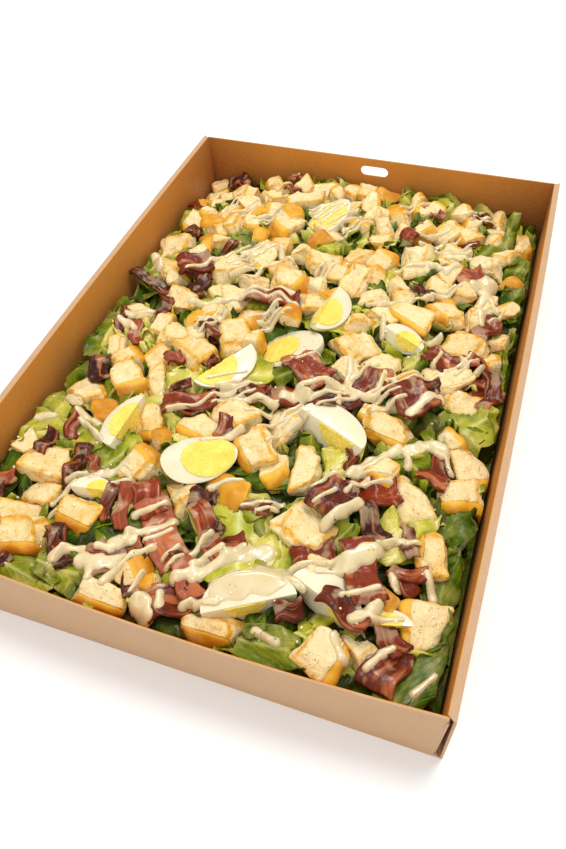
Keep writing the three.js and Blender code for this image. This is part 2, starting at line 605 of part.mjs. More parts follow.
function piece(name, geometry, material, x, y, yaw) {
  const mesh = new THREE.Mesh(geometry, material);
  mesh.name = name;
  mesh.position.set(x, y + MIDDLE_Y, 0);
  mesh.rotation.z = radians(yaw);
  return mesh;
}

function numbered(word, index) {
  return `${word}_${String(index + 1).padStart(2, '0')}`;
}

const tray = new THREE.Mesh(toGeometry(traySolid()), KRAFT);
tray.name = 'tray';
salad.add(tray);

const bySize = CROUTONS.map((crouton, index) => ({ crouton, index }))
  .sort((a, b) => b.crouton[2] * b.crouton[3] - a.crouton[2] * a.crouton[3]);

function croutonMesh({ crouton, index }, layers) {
  const [x, y, length, width, height, yaw, crust] = crouton;
  const shape = croutonShape(length, width, height, crust, random, layers);
  const mesh = piece(numbered('crouton', index), shape, BREAD, x, y, yaw);
  mesh.rotateX(radians(CROUTON_TILT * (2 * random() - 1)));
  mesh.rotateY(radians(CROUTON_TILT * (2 * random() - 1)));
  return mesh;
}

EGGS.forEach(([x, y, yaw, lean, towards, sector, size], index) => {
  const shape = toGeometry(eggSolid(sector)).scale(size, size, size);
  const mesh = piece(numbered('egg', index), shape, EGG_WHITE, x, y, yaw);
  const axis = new THREE.Vector3(-Math.sin(radians(towards)), Math.cos(radians(towards)), 0);
  mesh.rotateOnWorldAxis(axis, radians(lean));
  layDown(mesh, roomRound(mesh.geometry), LIFTS.egg);
});

bySize.slice(0, CROUTON_NODES).forEach((entry) => {
  const mesh = croutonMesh(entry, 2);
  layDown(mesh, roomRound(mesh.geometry), LIFTS.crouton);
});

BACON.forEach(([x, y, yaw, ...sizes], index) => {
  const steps = { along: 6, across: 2 };
  const mesh = piece(numbered('bacon', index), baconShape(steps, sizes), CURED_MEAT, x, y, yaw);
  layDown(mesh, baconShape(steps, sizes, GAP), LIFTS.bacon);
});

// What is bedded in the lettuce is fused to it: leaves, small croutons and bits of bacon. Each
// is moved aside or made smaller until it clears the pieces that lie on top, or else left out.
let heap = bedSolid(laid);

function bedIn(mesh, top) {
  const { x, y } = mesh.position;
  for (const size of SHRUNK) {
    mesh.scale.set(size, size, 1);
    for (const spot of nudges(BED_NUDGE)) {
      const box = hang(mesh, x + spot.x, y + spot.y, top);
      const solid = toSolid(mesh.geometry, mesh.matrixWorld);
      if (withinTray(box) && !crossesRoom(solid, box)) {
        heap = heap.add(solid);
        return;
      }
    }
  }
}

bySize.slice(CROUTON_NODES).forEach((entry) => {
  const height = entry.crouton[4];
  bedIn(croutonMesh(entry, 1), (x, y) => Math.min(
    toppingHeight(x, y) - GAP, pressedHeight(x, y, laid) + height - BEDDED,
  ));
});
BACON_BITS.forEach(([x, y, yaw, ...sizes]) => {
  const shape = baconShape({ along: 4, across: 1 }, sizes);
  const mesh = piece('bit', shape, CURED_MEAT, x, y, yaw);
  bedIn(mesh, (px, py) => pressedHeight(px, py, laid) + BACON_THICKNESS);
});
LEAVES.forEach(([x, y, length, width, yaw, rise, curl]) => {
  const mesh = piece('leaf', leafShape(length, width, rise, curl), ROMAINE, x, y, yaw);
  bedIn(mesh, (px, py) => Math.min(bedHeight(px, py), pressedHeight(px, py, laid) + 6) + rise);
});

const lettuce = new THREE.Mesh(toGeometry(largestBody(heap)), ROMAINE);
lettuce.name = 'lettuce';
salad.add(lettuce);

export default salad;
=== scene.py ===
"""A party-size caesar salad, dressed around the solids of its open kraft tray.

Lengths in the tables and in the shaping functions are millimetres, and places are counted from
the middle of the tray's floor. Each finished mesh is scaled to metres in the row's own frame.
"""

import math
import random

import bmesh
import bpy
import numpy as np
from mathutils import Matrix, Vector, noise
from mathutils.bvhtree import BVHTree


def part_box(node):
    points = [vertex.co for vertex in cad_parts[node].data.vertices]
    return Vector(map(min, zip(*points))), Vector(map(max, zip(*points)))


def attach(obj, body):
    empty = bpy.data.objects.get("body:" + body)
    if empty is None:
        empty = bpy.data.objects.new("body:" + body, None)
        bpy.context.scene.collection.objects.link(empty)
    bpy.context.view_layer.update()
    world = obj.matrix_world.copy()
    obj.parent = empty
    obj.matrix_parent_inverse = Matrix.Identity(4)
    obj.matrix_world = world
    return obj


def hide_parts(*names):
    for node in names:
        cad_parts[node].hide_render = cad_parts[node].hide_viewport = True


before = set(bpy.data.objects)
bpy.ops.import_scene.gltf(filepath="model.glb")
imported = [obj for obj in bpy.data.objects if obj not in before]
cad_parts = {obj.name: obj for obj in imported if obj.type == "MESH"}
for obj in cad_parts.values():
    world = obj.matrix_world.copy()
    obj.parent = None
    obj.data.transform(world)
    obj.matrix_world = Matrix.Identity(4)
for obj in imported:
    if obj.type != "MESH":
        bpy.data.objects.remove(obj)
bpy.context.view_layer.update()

bl_info = {
    "name": "Caesar Salad Tray",
    "version": (1, 0, 0),
    "blender": (4, 5, 0),
    "location": "View3D > Sidebar > Salad",
    "description": "Builds the looks of a caesar salad around its packed tray",
    "category": "Add Mesh",
}

MM = 0.001

# ---- the tray's own sizes, as the solids have them ------------------------------------------

FLOOR_LENGTH = 433
BOARD = 1.2
WALL_FOOT, RIM = 6, 4.5         # width of a hollow long wall, at the floor and at its rim
SIDE_BOW = 2                    # a long wall's rim bulges out by this much
FRONT_BOW, FRONT_TUCK, FRONT_PEAK = 3, 6, 0.15      # how the front wall's rim bulges and leans in
END_ROOM = 4.4                  # from the foot of the front wall to the salad
HALF_WIDTH = 155
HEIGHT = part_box("tray")[1].z / MM
BACK_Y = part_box("tray")[1].y / MM
FOOT_Y = BACK_Y - FLOOR_LENGTH
MIDDLE_Y = BACK_Y - FLOOR_LENGTH / 2
CLEARANCE = 0.3                 # from the salad to the long walls and the back wall
INSIDE_X = HALF_WIDTH - WALL_FOOT - CLEARANCE
INSIDE_FRONT = FOOT_Y + END_ROOM
INSIDE_BACK = BACK_Y - BOARD - CLEARANCE

CROWN = 48                      # height of the toppings in the middle of the tray
BESIDE_WALLS = 33               # and along the long walls
END_FALL = 0.25                 # share of that mound that is gone at the ends
SAGS = ((-1, 16, 70), (1, 10, 55))          # back corners: side, depth, spread
WIDEST_FOLD, FOLDED_SHARE = 14, 0.8         # how soft things fold back from a long wall

# ---- where things lie -----------------------------------------------------------------------
# Angles are degrees, turned to the left from +X.

# A crouton: x, y, length, width, height, yaw, and the side that keeps its crust.
CROUTONS = (
    (-34, 193, 26, 22, 18, 10, "north"), (-13, 199, 22, 18, 19, 80, "east"),
    (-45, 172, 30, 24, 18, 20, "none"), (-78, 178, 26, 18, 17, -60, "none"),
    (-93, 163, 25, 20, 18, -40, "none"), (-106, 150, 24, 20, 18, 60, "south"),
    (-66, 155, 20, 16, 14, 0, "west"), (-116, 130, 26, 20, 18, 70, "top"),
    (-131, 128, 30, 24, 20, 80, "west"), (-131, 91, 34, 28, 20, 15, "none"),
    (-50, 130, 33, 26, 20, 70, "west"), (-54, 88, 30, 22, 16, 80, "west"),
    (-5, 97, 30, 24, 18, 15, "none"), (-7, 168, 26, 14, 20, 80, "none"),
    (-103, 76, 30, 18, 16, -60, "none"), (-22, 68, 36, 27, 20, -10, "east"),
    (-73, 69, 30, 24, 18, -50, "none"), (-57, 44, 24, 20, 16, 35, "east"),
    (17, 200, 24, 22, 20, 0, "top"), (36, 172, 26, 24, 20, -80, "top"),
    (14, 167, 24, 12, 18, 80, "none"), (62, 188, 24, 18, 18, 75, "east"),
    (78, 160, 26, 20, 18, 60, "none"), (64, 122, 28, 24, 18, 0, "none"),
    (87, 132, 30, 16, 20, 70, "east"), (43, 108, 28, 22, 20, 60, "east"),
    (30, 134, 18, 16, 14, 0, "south"), (17, 108, 24, 18, 16, 60, "none"),
    (25, 78, 28, 22, 18, 80, "none"), (86, 91, 24, 24, 18, 15, "south"),
    (113, 130, 24, 22, 20, 10, "none"), (138, 164, 24, 15, 20, 80, "south"),
    (121, 86, 28, 14, 16, 80, "west"), (95, 66, 28, 27, 18, 40, "west"),
    (74, 47, 34, 21, 17, -20, "south"), (115, 42, 33, 22, 18, -20, "none"),
    (27, 12, 27, 24, 18, -30, "none"), (47, 18, 24, 22, 16, 30, "none"),
    (66, 2, 26, 22, 17, 80, "none"), (110, 6, 28, 20, 17, 35, "none"),
    (121, -10, 24, 20, 16, 0, "none"), (70, -38, 20, 18, 16, 0, "south"),
    (82, -50, 34, 22, 18, -10, "south"), (135, -58, 27, 22, 20, -60, "east"),
    (135, -82, 25, 22, 18, 20, "south"), (107, -92, 34, 18, 16, -60, "none"),
    (127, -127, 31, 21, 21, -80, "south"), (130, -165, 25, 23, 19, 10, "west"),
    (19, -62, 30, 20, 17, 60, "east"), (6, -91, 28, 26, 18, 40, "west"),
    (25, -97, 28, 16, 18, -60, "east"), (43, -92, 32, 18, 17, -80, "none"),
    (3, -120, 28, 20, 18, 0, "top"), (55, -132, 34, 28, 20, -30, "none"),
    (25, -201, 32, 19, 19, 0, "south"), (84, -199, 27, 23, 19, -20, "east"),
    (100, -186, 32, 15, 18, -35, "none"), (-96, 30, 33, 22, 17, -25, "none"),
    (-38, 24, 27, 22, 17, -5, "east"), (-45, -1, 34, 22, 18, -60, "none"),
    (-128, 12, 30, 18, 16, -35, "west"), (-99, 3, 20, 18, 17, 80, "east"),
    (-84, -8, 28, 20, 18, 0, "none"), (-63, -22, 34, 26, 20, -30, "none"),
    (-84, -32, 30, 16, 16, -40, "west"), (-108, -36, 24, 22, 18, 60, "east"),
    (-96, -56, 32, 20, 18, -40, "east"), (-78, -52, 28, 14, 17, -55, "none"),
    (-123, -68, 34, 24, 18, -40, "north"), (-13, -67, 30, 26, 19, -30, "none"),
    (-98, -87, 26, 18, 16, -50, "top"), (-66, -86, 26, 20, 18, -70, "east"),
    (-32, -83, 28, 18, 16, -15, "south"), (-53, -118, 30, 24, 21, 70, "east"),
    (-22, -128, 30, 16, 17, -60, "west"), (-114, -131, 34, 25, 19, 10, "none"),
    (-108, -152, 30, 18, 17, -5, "none"), (-78, -160, 27, 23, 20, -5, "south"),
    (-115, -170, 24, 18, 16, 10, "none"), (-99, -184, 32, 26, 20, 20, "south"),
    (-39, -203, 31, 15, 18, 0, "south"),
)
SIDES = {
    "east": (1, 0, 0), "west": (-1, 0, 0), "north": (0, 1, 0), "south": (0, -1, 0),
    "top": (0, 0, 1), "none": (0, 0, 0),
}

# A boiled egg's piece: x, y, yaw, lean of its cut face and towards which angle, the wedge's
# angle (180 is a half) and its size against a whole egg. Then its yolk: half its length, half its
# width, how far along the egg it lies off the middle, and whether the upper cut shows it too.
EGGS = (
    (-18, 152, 66, 18, 190, 180, 0.86, (18, 14, -1, True)),
    (-1, 3, 4, 24, 172, 180, 1, (15, 14, -7, True)),
    (-36, -31, 240, 15, 330, 112, 0.94, (15.5, 14, 6.5, True)),
    (14, 35, 265, 22, 355, 112, 0.86, (14, 12.5, 4, True)),
    (74, 27, -20, 10, 20, 110, 0.6, (8.5, 8, 3, True)),
    (90, -33, 10, 10, 270, 100, 0.5, (7, 7, 0, True)),
    (50, -64, -24, 8, 66, 106, 0.96, (13.5, 13, 5, False)),
    (-76, -94, 87, 12, 180, 90, 0.82, (14, 11.5, 0, True)),
    (-20, -107, 26, 12, 110, 150, 0.9, (16.5, 14.3, 5.5, True)),
    (-72, -147, 10, 8, 90, 100, 0.5, (7, 7, 4, True)),
    (43, -186, 30, 3, 300, 98, 0.98, (11, 11.5, -2, False)),
    (80, -172, -22, 6, 68, 98, 0.84, (9, 10, 11, False)),
    (108, -174, 15, 8, 90, 70, 0.5, (7, 7, 0, True)),
)
EGG_LENGTH, EGG_WIDTH, EGG_BLUNT = 52, 38, 0.13

# A slice of bacon: x, y, yaw, length, width, height of its waves, number of them, and how
# browned it is, from 0 for pink to 1 for dark.
BACON = (
    (-92, 64, 35, 26, 22, 1.6, 1, 0.5), (-28, 44, 10, 38, 14, 2.4, 2, 0.4),
    (23, -24, -30, 28, 22, 1.2, 1, 0.3), (60, -17, 20, 36, 24, 4.5, 0.5, 0.35),
    (96, -20, -40, 28, 24, 1.4, 1, 0.5), (84, -98, 30, 36, 20, 1.8, 2, 0.3),
    (66, -112, 70, 26, 22, 1.8, 1, 0.7), (92, -152, -62, 38, 18, 2, 1.5, 0.35),
    (118, -193, 75, 27, 20, 1.6, 1, 0.6), (137, -2, 70, 24, 18, 2, 1, 0.55),
    (-22, -158, -45, 50, 20, 2.4, 2, 0.05), (-40, -182, 30, 32, 20, 2, 1, 0.5),
    (103, 19, -10, 26, 16, 2, 1, 0.5), (0, -194, 40, 26, 20, 2.2, 1, 0.6),
)
BACON_BITS = (
    (-130, 44, -18, 44, 9, 2, 2, 1), (-85, 44, -75, 26, 10, 2, 1, 0.6),
    (-45, -66, 25, 34, 13, 2, 1, 0.4), (8, -46, 15, 30, 14, 2, 2, 0.3),
    (45, -40, 25, 34, 12, 2, 1, 0.8), (90, -118, -50, 28, 12, 3, 1, 0.9),
    (66, -148, 30, 24, 14, 2, 1, 0.5), (-50, -149, -70, 34, 9, 2, 1.5, 0.2),
    (-74, -184, -50, 28, 11, 3, 1, 0.9), (-92, -132, -80, 32, 10, 3, 2, 0.8),
    (5, -152, -46, 42, 12, 2, 1.5, 0.3), (126, 58, 70, 26, 14, 2, 1, 0.5),
    (106, 107, 30, 22, 20, 2, 1, 0.2), (56, 146, 60, 24, 14, 3, 1, 0.3),
    (-122, -52, -60, 22, 14, 3, 1, 1), (5, -182, -45, 26, 13, 1.6, 1, 0.1),
    (-38, -142, -50, 24, 16, 2, 1, 0.3), (-60, -150, -80, 26, 8, 2, 1, 0.6),
    (-25, -187, -70, 28, 10, 2, 1, 0.75), (91, -175, -18, 28, 11, 3, 1, 0.6),
    (114, -176, -42, 28, 12, 2.4, 1, 0.55),
)

# A romaine leaf: x, y of its middle, length, width, yaw, rise of its tip, its curl, and its
# tone, from 0 for dark outer leaves to 1 for the pale heart.
LEAVES = (
    (-84, 106, 44, 32, -60, 10, 8, 0.3), (-126, 142, 36, 22, 60, 8, 6, 0.6),
    (116, 160, 62, 34, 70, 26, 9, 0.35), (30, 146, 40, 16, -70, 6, 4, 0.9),
    (54, 80, 46, 22, -12, 6, 5, 0.9), (140, 98, 40, 18, 80, 12, 6, 0.2),
    (134, 126, 36, 22, 60, 12, 6, 0.3), (70, 96, 30, 20, 75, 8, 7, 0.1),
    (-140, 56, 44, 14, -50, 14, 5, 0.3), (-116, 62, 40, 26, 45, 8, 6, 0.5),
    (-134, -18, 44, 26, -80, 12, 6, 0.25), (-112, -14, 40, 22, -35, 6, 5, 0.95),
    (-60, -56, 44, 28, 70, 8, 8, 0.85), (-68, 2, 40, 20, 35, 6, 6, 0.9),
    (-74, 26, 30, 20, 0, 6, 6, 0.6), (38, 64, 34, 22, 75, 10, 10, 0.15),
    (36, 38, 40, 24, 20, 6, 6, 0.9), (139, 34, 52, 18, 85, 16, 5, 0.4),
    (86, 12, 26, 14, 60, 8, 4, 0.6), (128, -34, 44, 34, 50, 14, 9, 0.55),
    (122, -46, 28, 16, -60, 8, 8, 0.2), (-134, -88, 46, 24, 60, 12, 6, 0.6),
    (-138, -108, 40, 20, 70, 12, 6, 0.6), (-126, -112, 48, 30, 0, 10, 8, 0.65),
    (-136, -142, 44, 22, 75, 12, 6, 0.1), (-48, -90, 34, 24, -20, 8, 7, 0.7),
    (-74, -124, 44, 26, 60, 8, 6, 0.5), (-56, -164, 42, 26, -60, 8, 7, 0.1),
    (-60, -196, 38, 20, 0, 8, 6, 0.45), (-14, -184, 34, 24, 70, 8, 6, 0.6),
    (-88, -204, 42, 18, -10, 6, 5, 0.5), (60, -84, 34, 20, 70, 8, 5, 0.8),
    (133, -104, 42, 24, 80, 14, 9, 0.1), (136, -140, 40, 20, 95, 12, 9, 0.2),
    (108, -116, 40, 24, 60, 8, 6, 0.8), (75, -134, 24, 16, 60, 8, 5, 0.5),
    (22, -150, 50, 40, -70, 12, 8, 0.7), (48, -158, 34, 20, -80, 8, 6, 0.6),
    (60, -202, 48, 18, 5, 6, 5, 0.3), (132, -186, 48, 26, 75, 14, 9, 0.2),
    (-14, 118, 36, 20, -40, 6, 6, 0.6), (-142, 4, 34, 16, 85, 12, 5, 0.3),
    (-96, 118, 34, 20, 20, 8, 6, 0.4), (8, 150, 30, 18, 60, 6, 5, 0.7),
    (-20, -34, 34, 20, 20, 6, 6, 0.7), (14, -130, 30, 18, 10, 6, 6, 0.5),
    (100, -70, 36, 22, -30, 8, 6, 0.4), (-100, -120, 30, 20, 40, 8, 6, 0.6),
)

# A stroke of dressing: its width, its depth, and the places that it runs through. What is poured
# along it has only the stated share of that width.
NARROWED = 0.68
STROKES = (
    (7, 2.2, ((-84, 22), (-66, 31), (-48, 46), (-32, 53), (-16, 52))),
    (4.5, 2, ((-50, 38), (-36, 44), (-22, 46), (-8, 41))), (5, 2, ((-99, 50), (-89, 62), (-84, 74))),
    (12, 2, ((-142, 76), (-128, 58))), (5, 1.8, ((-42, 101), (-36, 88), (-26, 84))),
    (16, 2.4, ((112, 99), (121, 112), (119, 96))), (8, 2, ((120, 94), (117, 80), (122, 62))),
    (5, 1.8, ((124, 92), (130, 80))), (5, 1.8, ((52, 97), (60, 102), (70, 107))),
    (8, 1.8, ((76, 110), (88, 105), (94, 114))), (5, 1.6, ((48, 58), (58, 63), (70, 66), (83, 75))),
    (4, 1.6, ((85, 28), (92, 35), (97, 42))), (4, 1.6, ((98, 12), (101, 25))),
    (5, 1.6, ((114, 26), (119, 18))), (5, 1.6, ((55, 46), (59, 28))),
    (4.5, 1.8, ((-30, -48), (-15, -41), (-6, -38))), (5, 2, ((-18, -57), (-4, -51), (10, -52))),
    (3.5, 1.6, ((-56, -77), (-42, -70), (-34, -57))), (3, 1.4, ((-32, -56), (-20, -49))),
    (6, 2, ((-24, -93), (-12, -88), (-4, -78))), (6, 1.8, ((-132, -80), (-118, -85))),
    (6, 1.8, ((-114, -92), (-96, -98))), (10, 1.8, ((-128, 6), (-114, 13))),
    (9, 1.8, ((-131, -3), (-117, -9))), (7, 2.2, ((44, 0), (48, -14), (50, -28))),
    (4.5, 2, ((50, -18), (58, -8), (63, 1))), (4, 2, ((52, -28), (63, -30), (69, -20), (69, -7))),
    (6, 2.2, ((20, -39), (31, -30), (50, -27))), (3.5, 1.8, ((30, -45), (38, -35), (50, -31), (62, -30))),
    (3, 1.8, ((36, -48), (46, -38), (57, -34))), (3, 1.6, ((12, -18), (18, -12), (25, -8))),
    (4, 1.8, ((78, -15), (88, -5), (97, 0))), (3, 1.6, ((72, -10), (82, -3), (91, 1))),
    (9, 2.4, ((94, -39), (100, -26), (109, -13))), (14, 2.8, ((99, -62), (108, -54), (118, -57))),
    (6, 2, ((97, -62), (101, -72))), (5, 2, ((119, -57), (126, -68))),
    (4, 1.8, ((71, -90), (84, -85), (93, -84))), (4, 1.8, ((74, -98), (81, -91))),
    (4, 1.8, ((5, -73), (13, -65), (26, -55))), (3.5, 1.6, ((15, -83), (21, -70), (27, -60))),
    (11, 1.6, ((12, -46), (26, -42))), (5, 1.8, ((-109, -98), (-96, -105), (-85, -112))),
    (3, 1.6, ((-64, -128), (-54, -132))), (3.5, 1.6, ((-63, -139), (-53, -134))),
    (3, 1.6, ((-67, -122), (-57, -126))), (4.5, 1.8, ((16, -129), (27, -124), (37, -120))),
    (25, 0.9, ((26, -183), (38, -175), (51, -168))), (5, 1.6, ((57, -165), (67, -169))),
    (6, 1.2, ((50, -197), (62, -199))), (5, 1.6, ((109, -145), (114, -153))),
    (6, 1.8, ((127, -139), (133, -149))), (5, 1.6, ((134, -201), (142, -189))),
    (7, 1.6, ((90, -189), (97, -197))), (8, 1.6, ((-142, -102), (-130, -98))),
    (7, 1.4, ((-70, 8), (-58, 14))), (5, 2, ((-40, -154), (-33, -148), (-27, -141))),
    (8, 2.2, ((-38, -165), (-29, -160), (-18, -151))), (5, 2, ((-27, -167), (-16, -157))),
    (3.6, 1.8, ((-14, -174), (-8, -164))), (3.6, 1.8, ((-9, -179), (-3, -169))),
    (9, 2, ((-1, -183), (7, -177))), (6, 2.2, ((-39, -197), (-34, -188), (-29, -178), (-21, -170))),
    (3.6, 2, ((-22, -197), (-19, -185))), (14, 2, ((-56, -188), (-46, -187), (-37, -183))),
    (9, 1.8, ((-50, -190), (-48, -197))), (7, 2.2, ((-74, -192), (-69, -185), (-60, -182))),
    (6, 2, ((-52, -178), (-44, -177))), (11, 1.8, ((-44, -173), (-36, -168))),
    (15, 2.4, ((-14, -201), (-8, -207))), (7, 1.4, ((-6, -193), (-3, -200))),
    (5, 2, ((8, -196), (12, -192))), (7, 2, ((16, -194), (26, -190))), (4.6, 2, ((1, -167), (7, -152))),
    (6, 2, ((5, -173), (17, -159))), (9, 1.8, ((8, -180), (20, -166))), (6, 2, ((-94, -159), (-85, -144))),
    (3.6, 1.6, ((-93, -143), (-83, -136))), (3.4, 1.6, ((-92, -167), (-86, -165))),
    (8, 1.2, ((-78, -138), (-70, -131), (-63, -120))), (4.6, 2, ((-7, -122), (1, -116), (9, -112))),
    (5, 2, ((52, -106), (64, -96))), (3.4, 1.8, ((57, -120), (66, -107))),
    (4, 2, ((72, -106), (78, -96), (94, -88))), (8, 2.2, ((67, -130), (74, -121), (81, -111))),
    (6, 2, ((99, -131), (107, -124), (118, -121))), (14, 2.4, ((82, -153), (90, -145), (98, -137))),
    (4.6, 2, ((57, -160), (68, -153), (80, -148))), (3.6, 1.8, ((71, -158), (80, -155))),
    (4.6, 1.8, ((88, -169), (96, -164), (105, -159))), (8, 2.2, ((96, -178), (103, -173), (107, -167))),
    (4.6, 1.8, ((106, -175), (120, -169))), (5.4, 1.8, ((109, -197), (114, -188), (119, -183))),
    (3.6, 1.8, ((26, -131), (36, -126))), (14, 1.2, ((22, -163), (30, -158), (40, -154))),
    (9, 2.4, ((70, -89), (80, -78), (92, -63))), (5, 2, ((55, -33), (68, -29), (75, -18), (77, -10))),
    (4.6, 2, ((-14, -56), (0, -52), (10, -54))), (4, 1.8, ((-8, -62), (8, -60))),
)

# ---- helpers --------------------------------------------------------------------------------


def linear(red, green, blue):
    """A colour given as it looks on screen, from 0 to 255, as the renderer's own numbers."""
    def channel(value):
        share = value / 255
        return share / 12.92 if share <= 0.04045 else ((share + 0.055) / 1.055) ** 2.4
    return (channel(red), channel(green), channel(blue))


def smoothstep(low, high, value):
    """0 below one value, 1 above the other, and an even rise in between."""
    share = min(1.0, max(0.0, (value - low) / (high - low)))
    return share * share * (3 - 2 * share)


def wobble(x, y, z):
    """Smooth noise from -1 to 1 about one unit across."""
    return noise.noise(Vector((x, y, z)))


def topping_height(x, y):
    """Height of the toppings: a low mound that falls to the walls and sags in the back corners."""
    across = x / HALF_WIDTH
    along = (y - MIDDLE_Y) / (FLOOR_LENGTH / 2)
    mound = (1 - across ** 4) * (1 - END_FALL * along ** 8)
    sag = sum(
        depth * math.exp(-(math.hypot(x - side * HALF_WIDTH, y - BACK_Y) / spread) ** 2)
        for side, depth, spread in SAGS
    )
    return BESIDE_WALLS + (CROWN - BESIDE_WALLS) * mound - sag


def turned(yaw, roll=0.0, pitch=0.0):
    """A turn about the vertical of something that was tipped first, in degrees."""
    turn = Matrix.Rotation(math.radians(yaw), 4, "Z")
    tip = Matrix.Rotation(math.radians(roll), 4, "X") @ Matrix.Rotation(math.radians(pitch), 4, "Y")
    return turn @ tip


def box_of(verts):
    """The lowest and the highest corner of the box round some vertices."""
    low = Vector(min(v.co[k] for v in verts) for k in range(3))
    high = Vector(max(v.co[k] for v in verts) for k in range(3))
    return low, high


def fitted(verts, node):
    """Moves and stretches a piece so that it fills the box of its solid."""
    low, high = box_of(verts)
    target_low, target_high = (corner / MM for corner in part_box(node))
    scale = [(target_high[k] - target_low[k]) / (high[k] - low[k]) for k in range(3)]
    for vert in verts:
        for k in range(3):
            vert.co[k] = target_low[k] + (vert.co[k] - low[k]) * scale[k]


def centred(bm, verts, node):
    """Moves a piece to the middle of its solid's box, and hands back how far it went."""
    low, high = box_of(verts)
    node_low, node_high = (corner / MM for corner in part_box(node))
    shift = (node_low + node_high - low - high) / 2
    bmesh.ops.translate(bm, vec=shift, verts=verts)
    return shift


def kept_inside(verts, slack=0):
    """Presses against the walls and the floor what would stand through them. Soft things with
    some slack fold back instead, at about half that distance from a long wall."""
    for vert in verts:
        wave = 0.5 + 0.7 * wobble(vert.co.y / 9, vert.co.z / 9, vert.co.x / 60)
        limit = INSIDE_X - slack * wave
        beyond = abs(vert.co.x) - limit
        if beyond > 0:
            fold = min(beyond, WIDEST_FOLD) * FOLDED_SHARE if slack else 0
            vert.co.x = math.copysign(limit - fold, vert.co.x)
        vert.co.y = min(INSIDE_BACK, max(INSIDE_FRONT, vert.co.y))
        vert.co.z = max(BOARD + 1, vert.co.z)


def laid(bm, verts, turn, place):
    """Turns a piece, moves its middle to a place and presses it into the tray."""
    bmesh.ops.transform(bm, matrix=turn, verts=verts)
    bmesh.ops.translate(bm, vec=place, verts=verts)
    kept_inside(verts)


def spot_inside(draw, margin):
    """A random place on the salad, at least so many millimetres from the walls."""
    x = draw.uniform(-INSIDE_X + margin, INSIDE_X - margin)
    return x, draw.uniform(INSIDE_FRONT + margin, INSIDE_BACK - margin)


def tree_of(obj):
    """A search tree of an object's finished surface, in metres."""
    return BVHTree.FromObject(obj, bpy.context.evaluated_depsgraph_get())


def solid_tree(node):
    """A search tree of a solid, also where a piece has already replaced it."""
    bm = bmesh.new()
    bm.from_mesh(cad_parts[node].data)
    bm.transform(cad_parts[node].matrix_world)
    tree = BVHTree.FromBMesh(bm)
    bm.free()
    return tree


class Heights:
    """Heights of some finished pieces over a fine grid of places, 0 where there is nothing."""

    def __init__(self, names, step, wanted=None):
        self.columns = int(2 * INSIDE_X / step)
        self.rows = int((INSIDE_BACK - INSIDE_FRONT) / step)
        self.across = np.linspace(-INSIDE_X, INSIDE_X, self.columns + 1)
        self.along = np.linspace(INSIDE_FRONT, INSIDE_BACK, self.rows + 1)
        self.top = np.zeros((self.rows + 1, self.columns + 1))
        wanted = np.ones(self.top.shape, bool) if wanted is None else wanted
        down = Vector((0, 0, -1))
        for name in names:
            tree = tree_of(bpy.data.objects[name])
            for j, i in zip(*np.nonzero(wanted)):
                over = Vector((self.across[i] * MM, self.along[j] * MM, 2 * HEIGHT * MM))
                hit = tree.ray_cast(over, down)[0]
                if hit:
                    self.top[j, i] = max(self.top[j, i], hit.z / MM)

    def at(self, x, y):
        """Height at the nearest place of the grid."""
        i = round((x + INSIDE_X) / (2 * INSIDE_X) * self.columns)
        j = round((y - INSIDE_FRONT) / (INSIDE_BACK - INSIDE_FRONT) * self.rows)
        return self.top[min(self.rows, max(0, j)), min(self.columns, max(0, i))]


def fresh(layer_name):
    """An empty bmesh whose vertices keep three numbers for the material."""
    bm = bmesh.new()
    bm.verts.layers.float_vector.new(layer_name)
    return bm


def finished(bm, name, material, nodes, sharp=None):
    """Turns a bmesh in millimetres into a smooth piece in metres that rides with the tray."""
    bmesh.ops.scale(bm, vec=(MM, MM, MM), verts=bm.verts)
    mesh = bpy.data.meshes.new(name)
    bm.to_mesh(mesh)
    bm.free()
    mesh.shade_smooth()
    if sharp:
        mesh.set_sharp_from_angle(angle=math.radians(sharp))
    mesh.materials.append(material)
    piece = bpy.data.objects.new(name, mesh)
    bpy.context.scene.collection.objects.link(piece)
    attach(piece, "root")
    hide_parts(*nodes)
    bpy.context.view_layer.update()
    return piece


def thickened(piece, thickness):
    """Gives a sheet its thickness in millimetres, half of it on either side."""
    solid = piece.modifiers.new("thickness", "SOLIDIFY")
    solid.thickness = thickness * MM
    solid.offset = 0
    return solid


def node_names(word):
    """The names of the solids that start with a word, in order."""
    return sorted(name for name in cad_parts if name.startswith(word))


# ---- shader expressions ---------------------------------------------------------------------


class Socket:
    """An output of a shader node. Arithmetic on it adds Math nodes to the same material."""

    def __init__(self, shader, output):
        self.shader = shader
        self.output = output

    def math(self, operation, *values):
        inputs = dict(enumerate(values))
        return self.shader.node("ShaderNodeMath", {"operation": operation}, inputs)

    def __add__(self, other):
        return self.math("ADD", self, other)

    def __sub__(self, other):
        return self.math("SUBTRACT", self, other)

    def __rsub__(self, other):
        return self.math("SUBTRACT", other, self)

    def __mul__(self, other):
        return self.math("MULTIPLY", self, other)

    def __truediv__(self, other):
        return self.math("DIVIDE", self, other)

    def __pow__(self, other):
        return self.math("POWER", self, other)

    def __abs__(self):
        return self.math("ABSOLUTE", self)

    __radd__ = __add__
    __rmul__ = __mul__

    def sine(self):
        return self.math("SINE", self)

    def below(self, other):
        """The lesser of the two."""
        return self.math("MINIMUM", self, other)

    def clamped(self):
        """The value kept from 0 to 1."""
        return self.math("MAXIMUM", self, 0.0).below(1.0)

    def between(self, low, high):
        """0 below one value, 1 above the other, and even in between."""
        return ((self - low) / (high - low)).clamped()


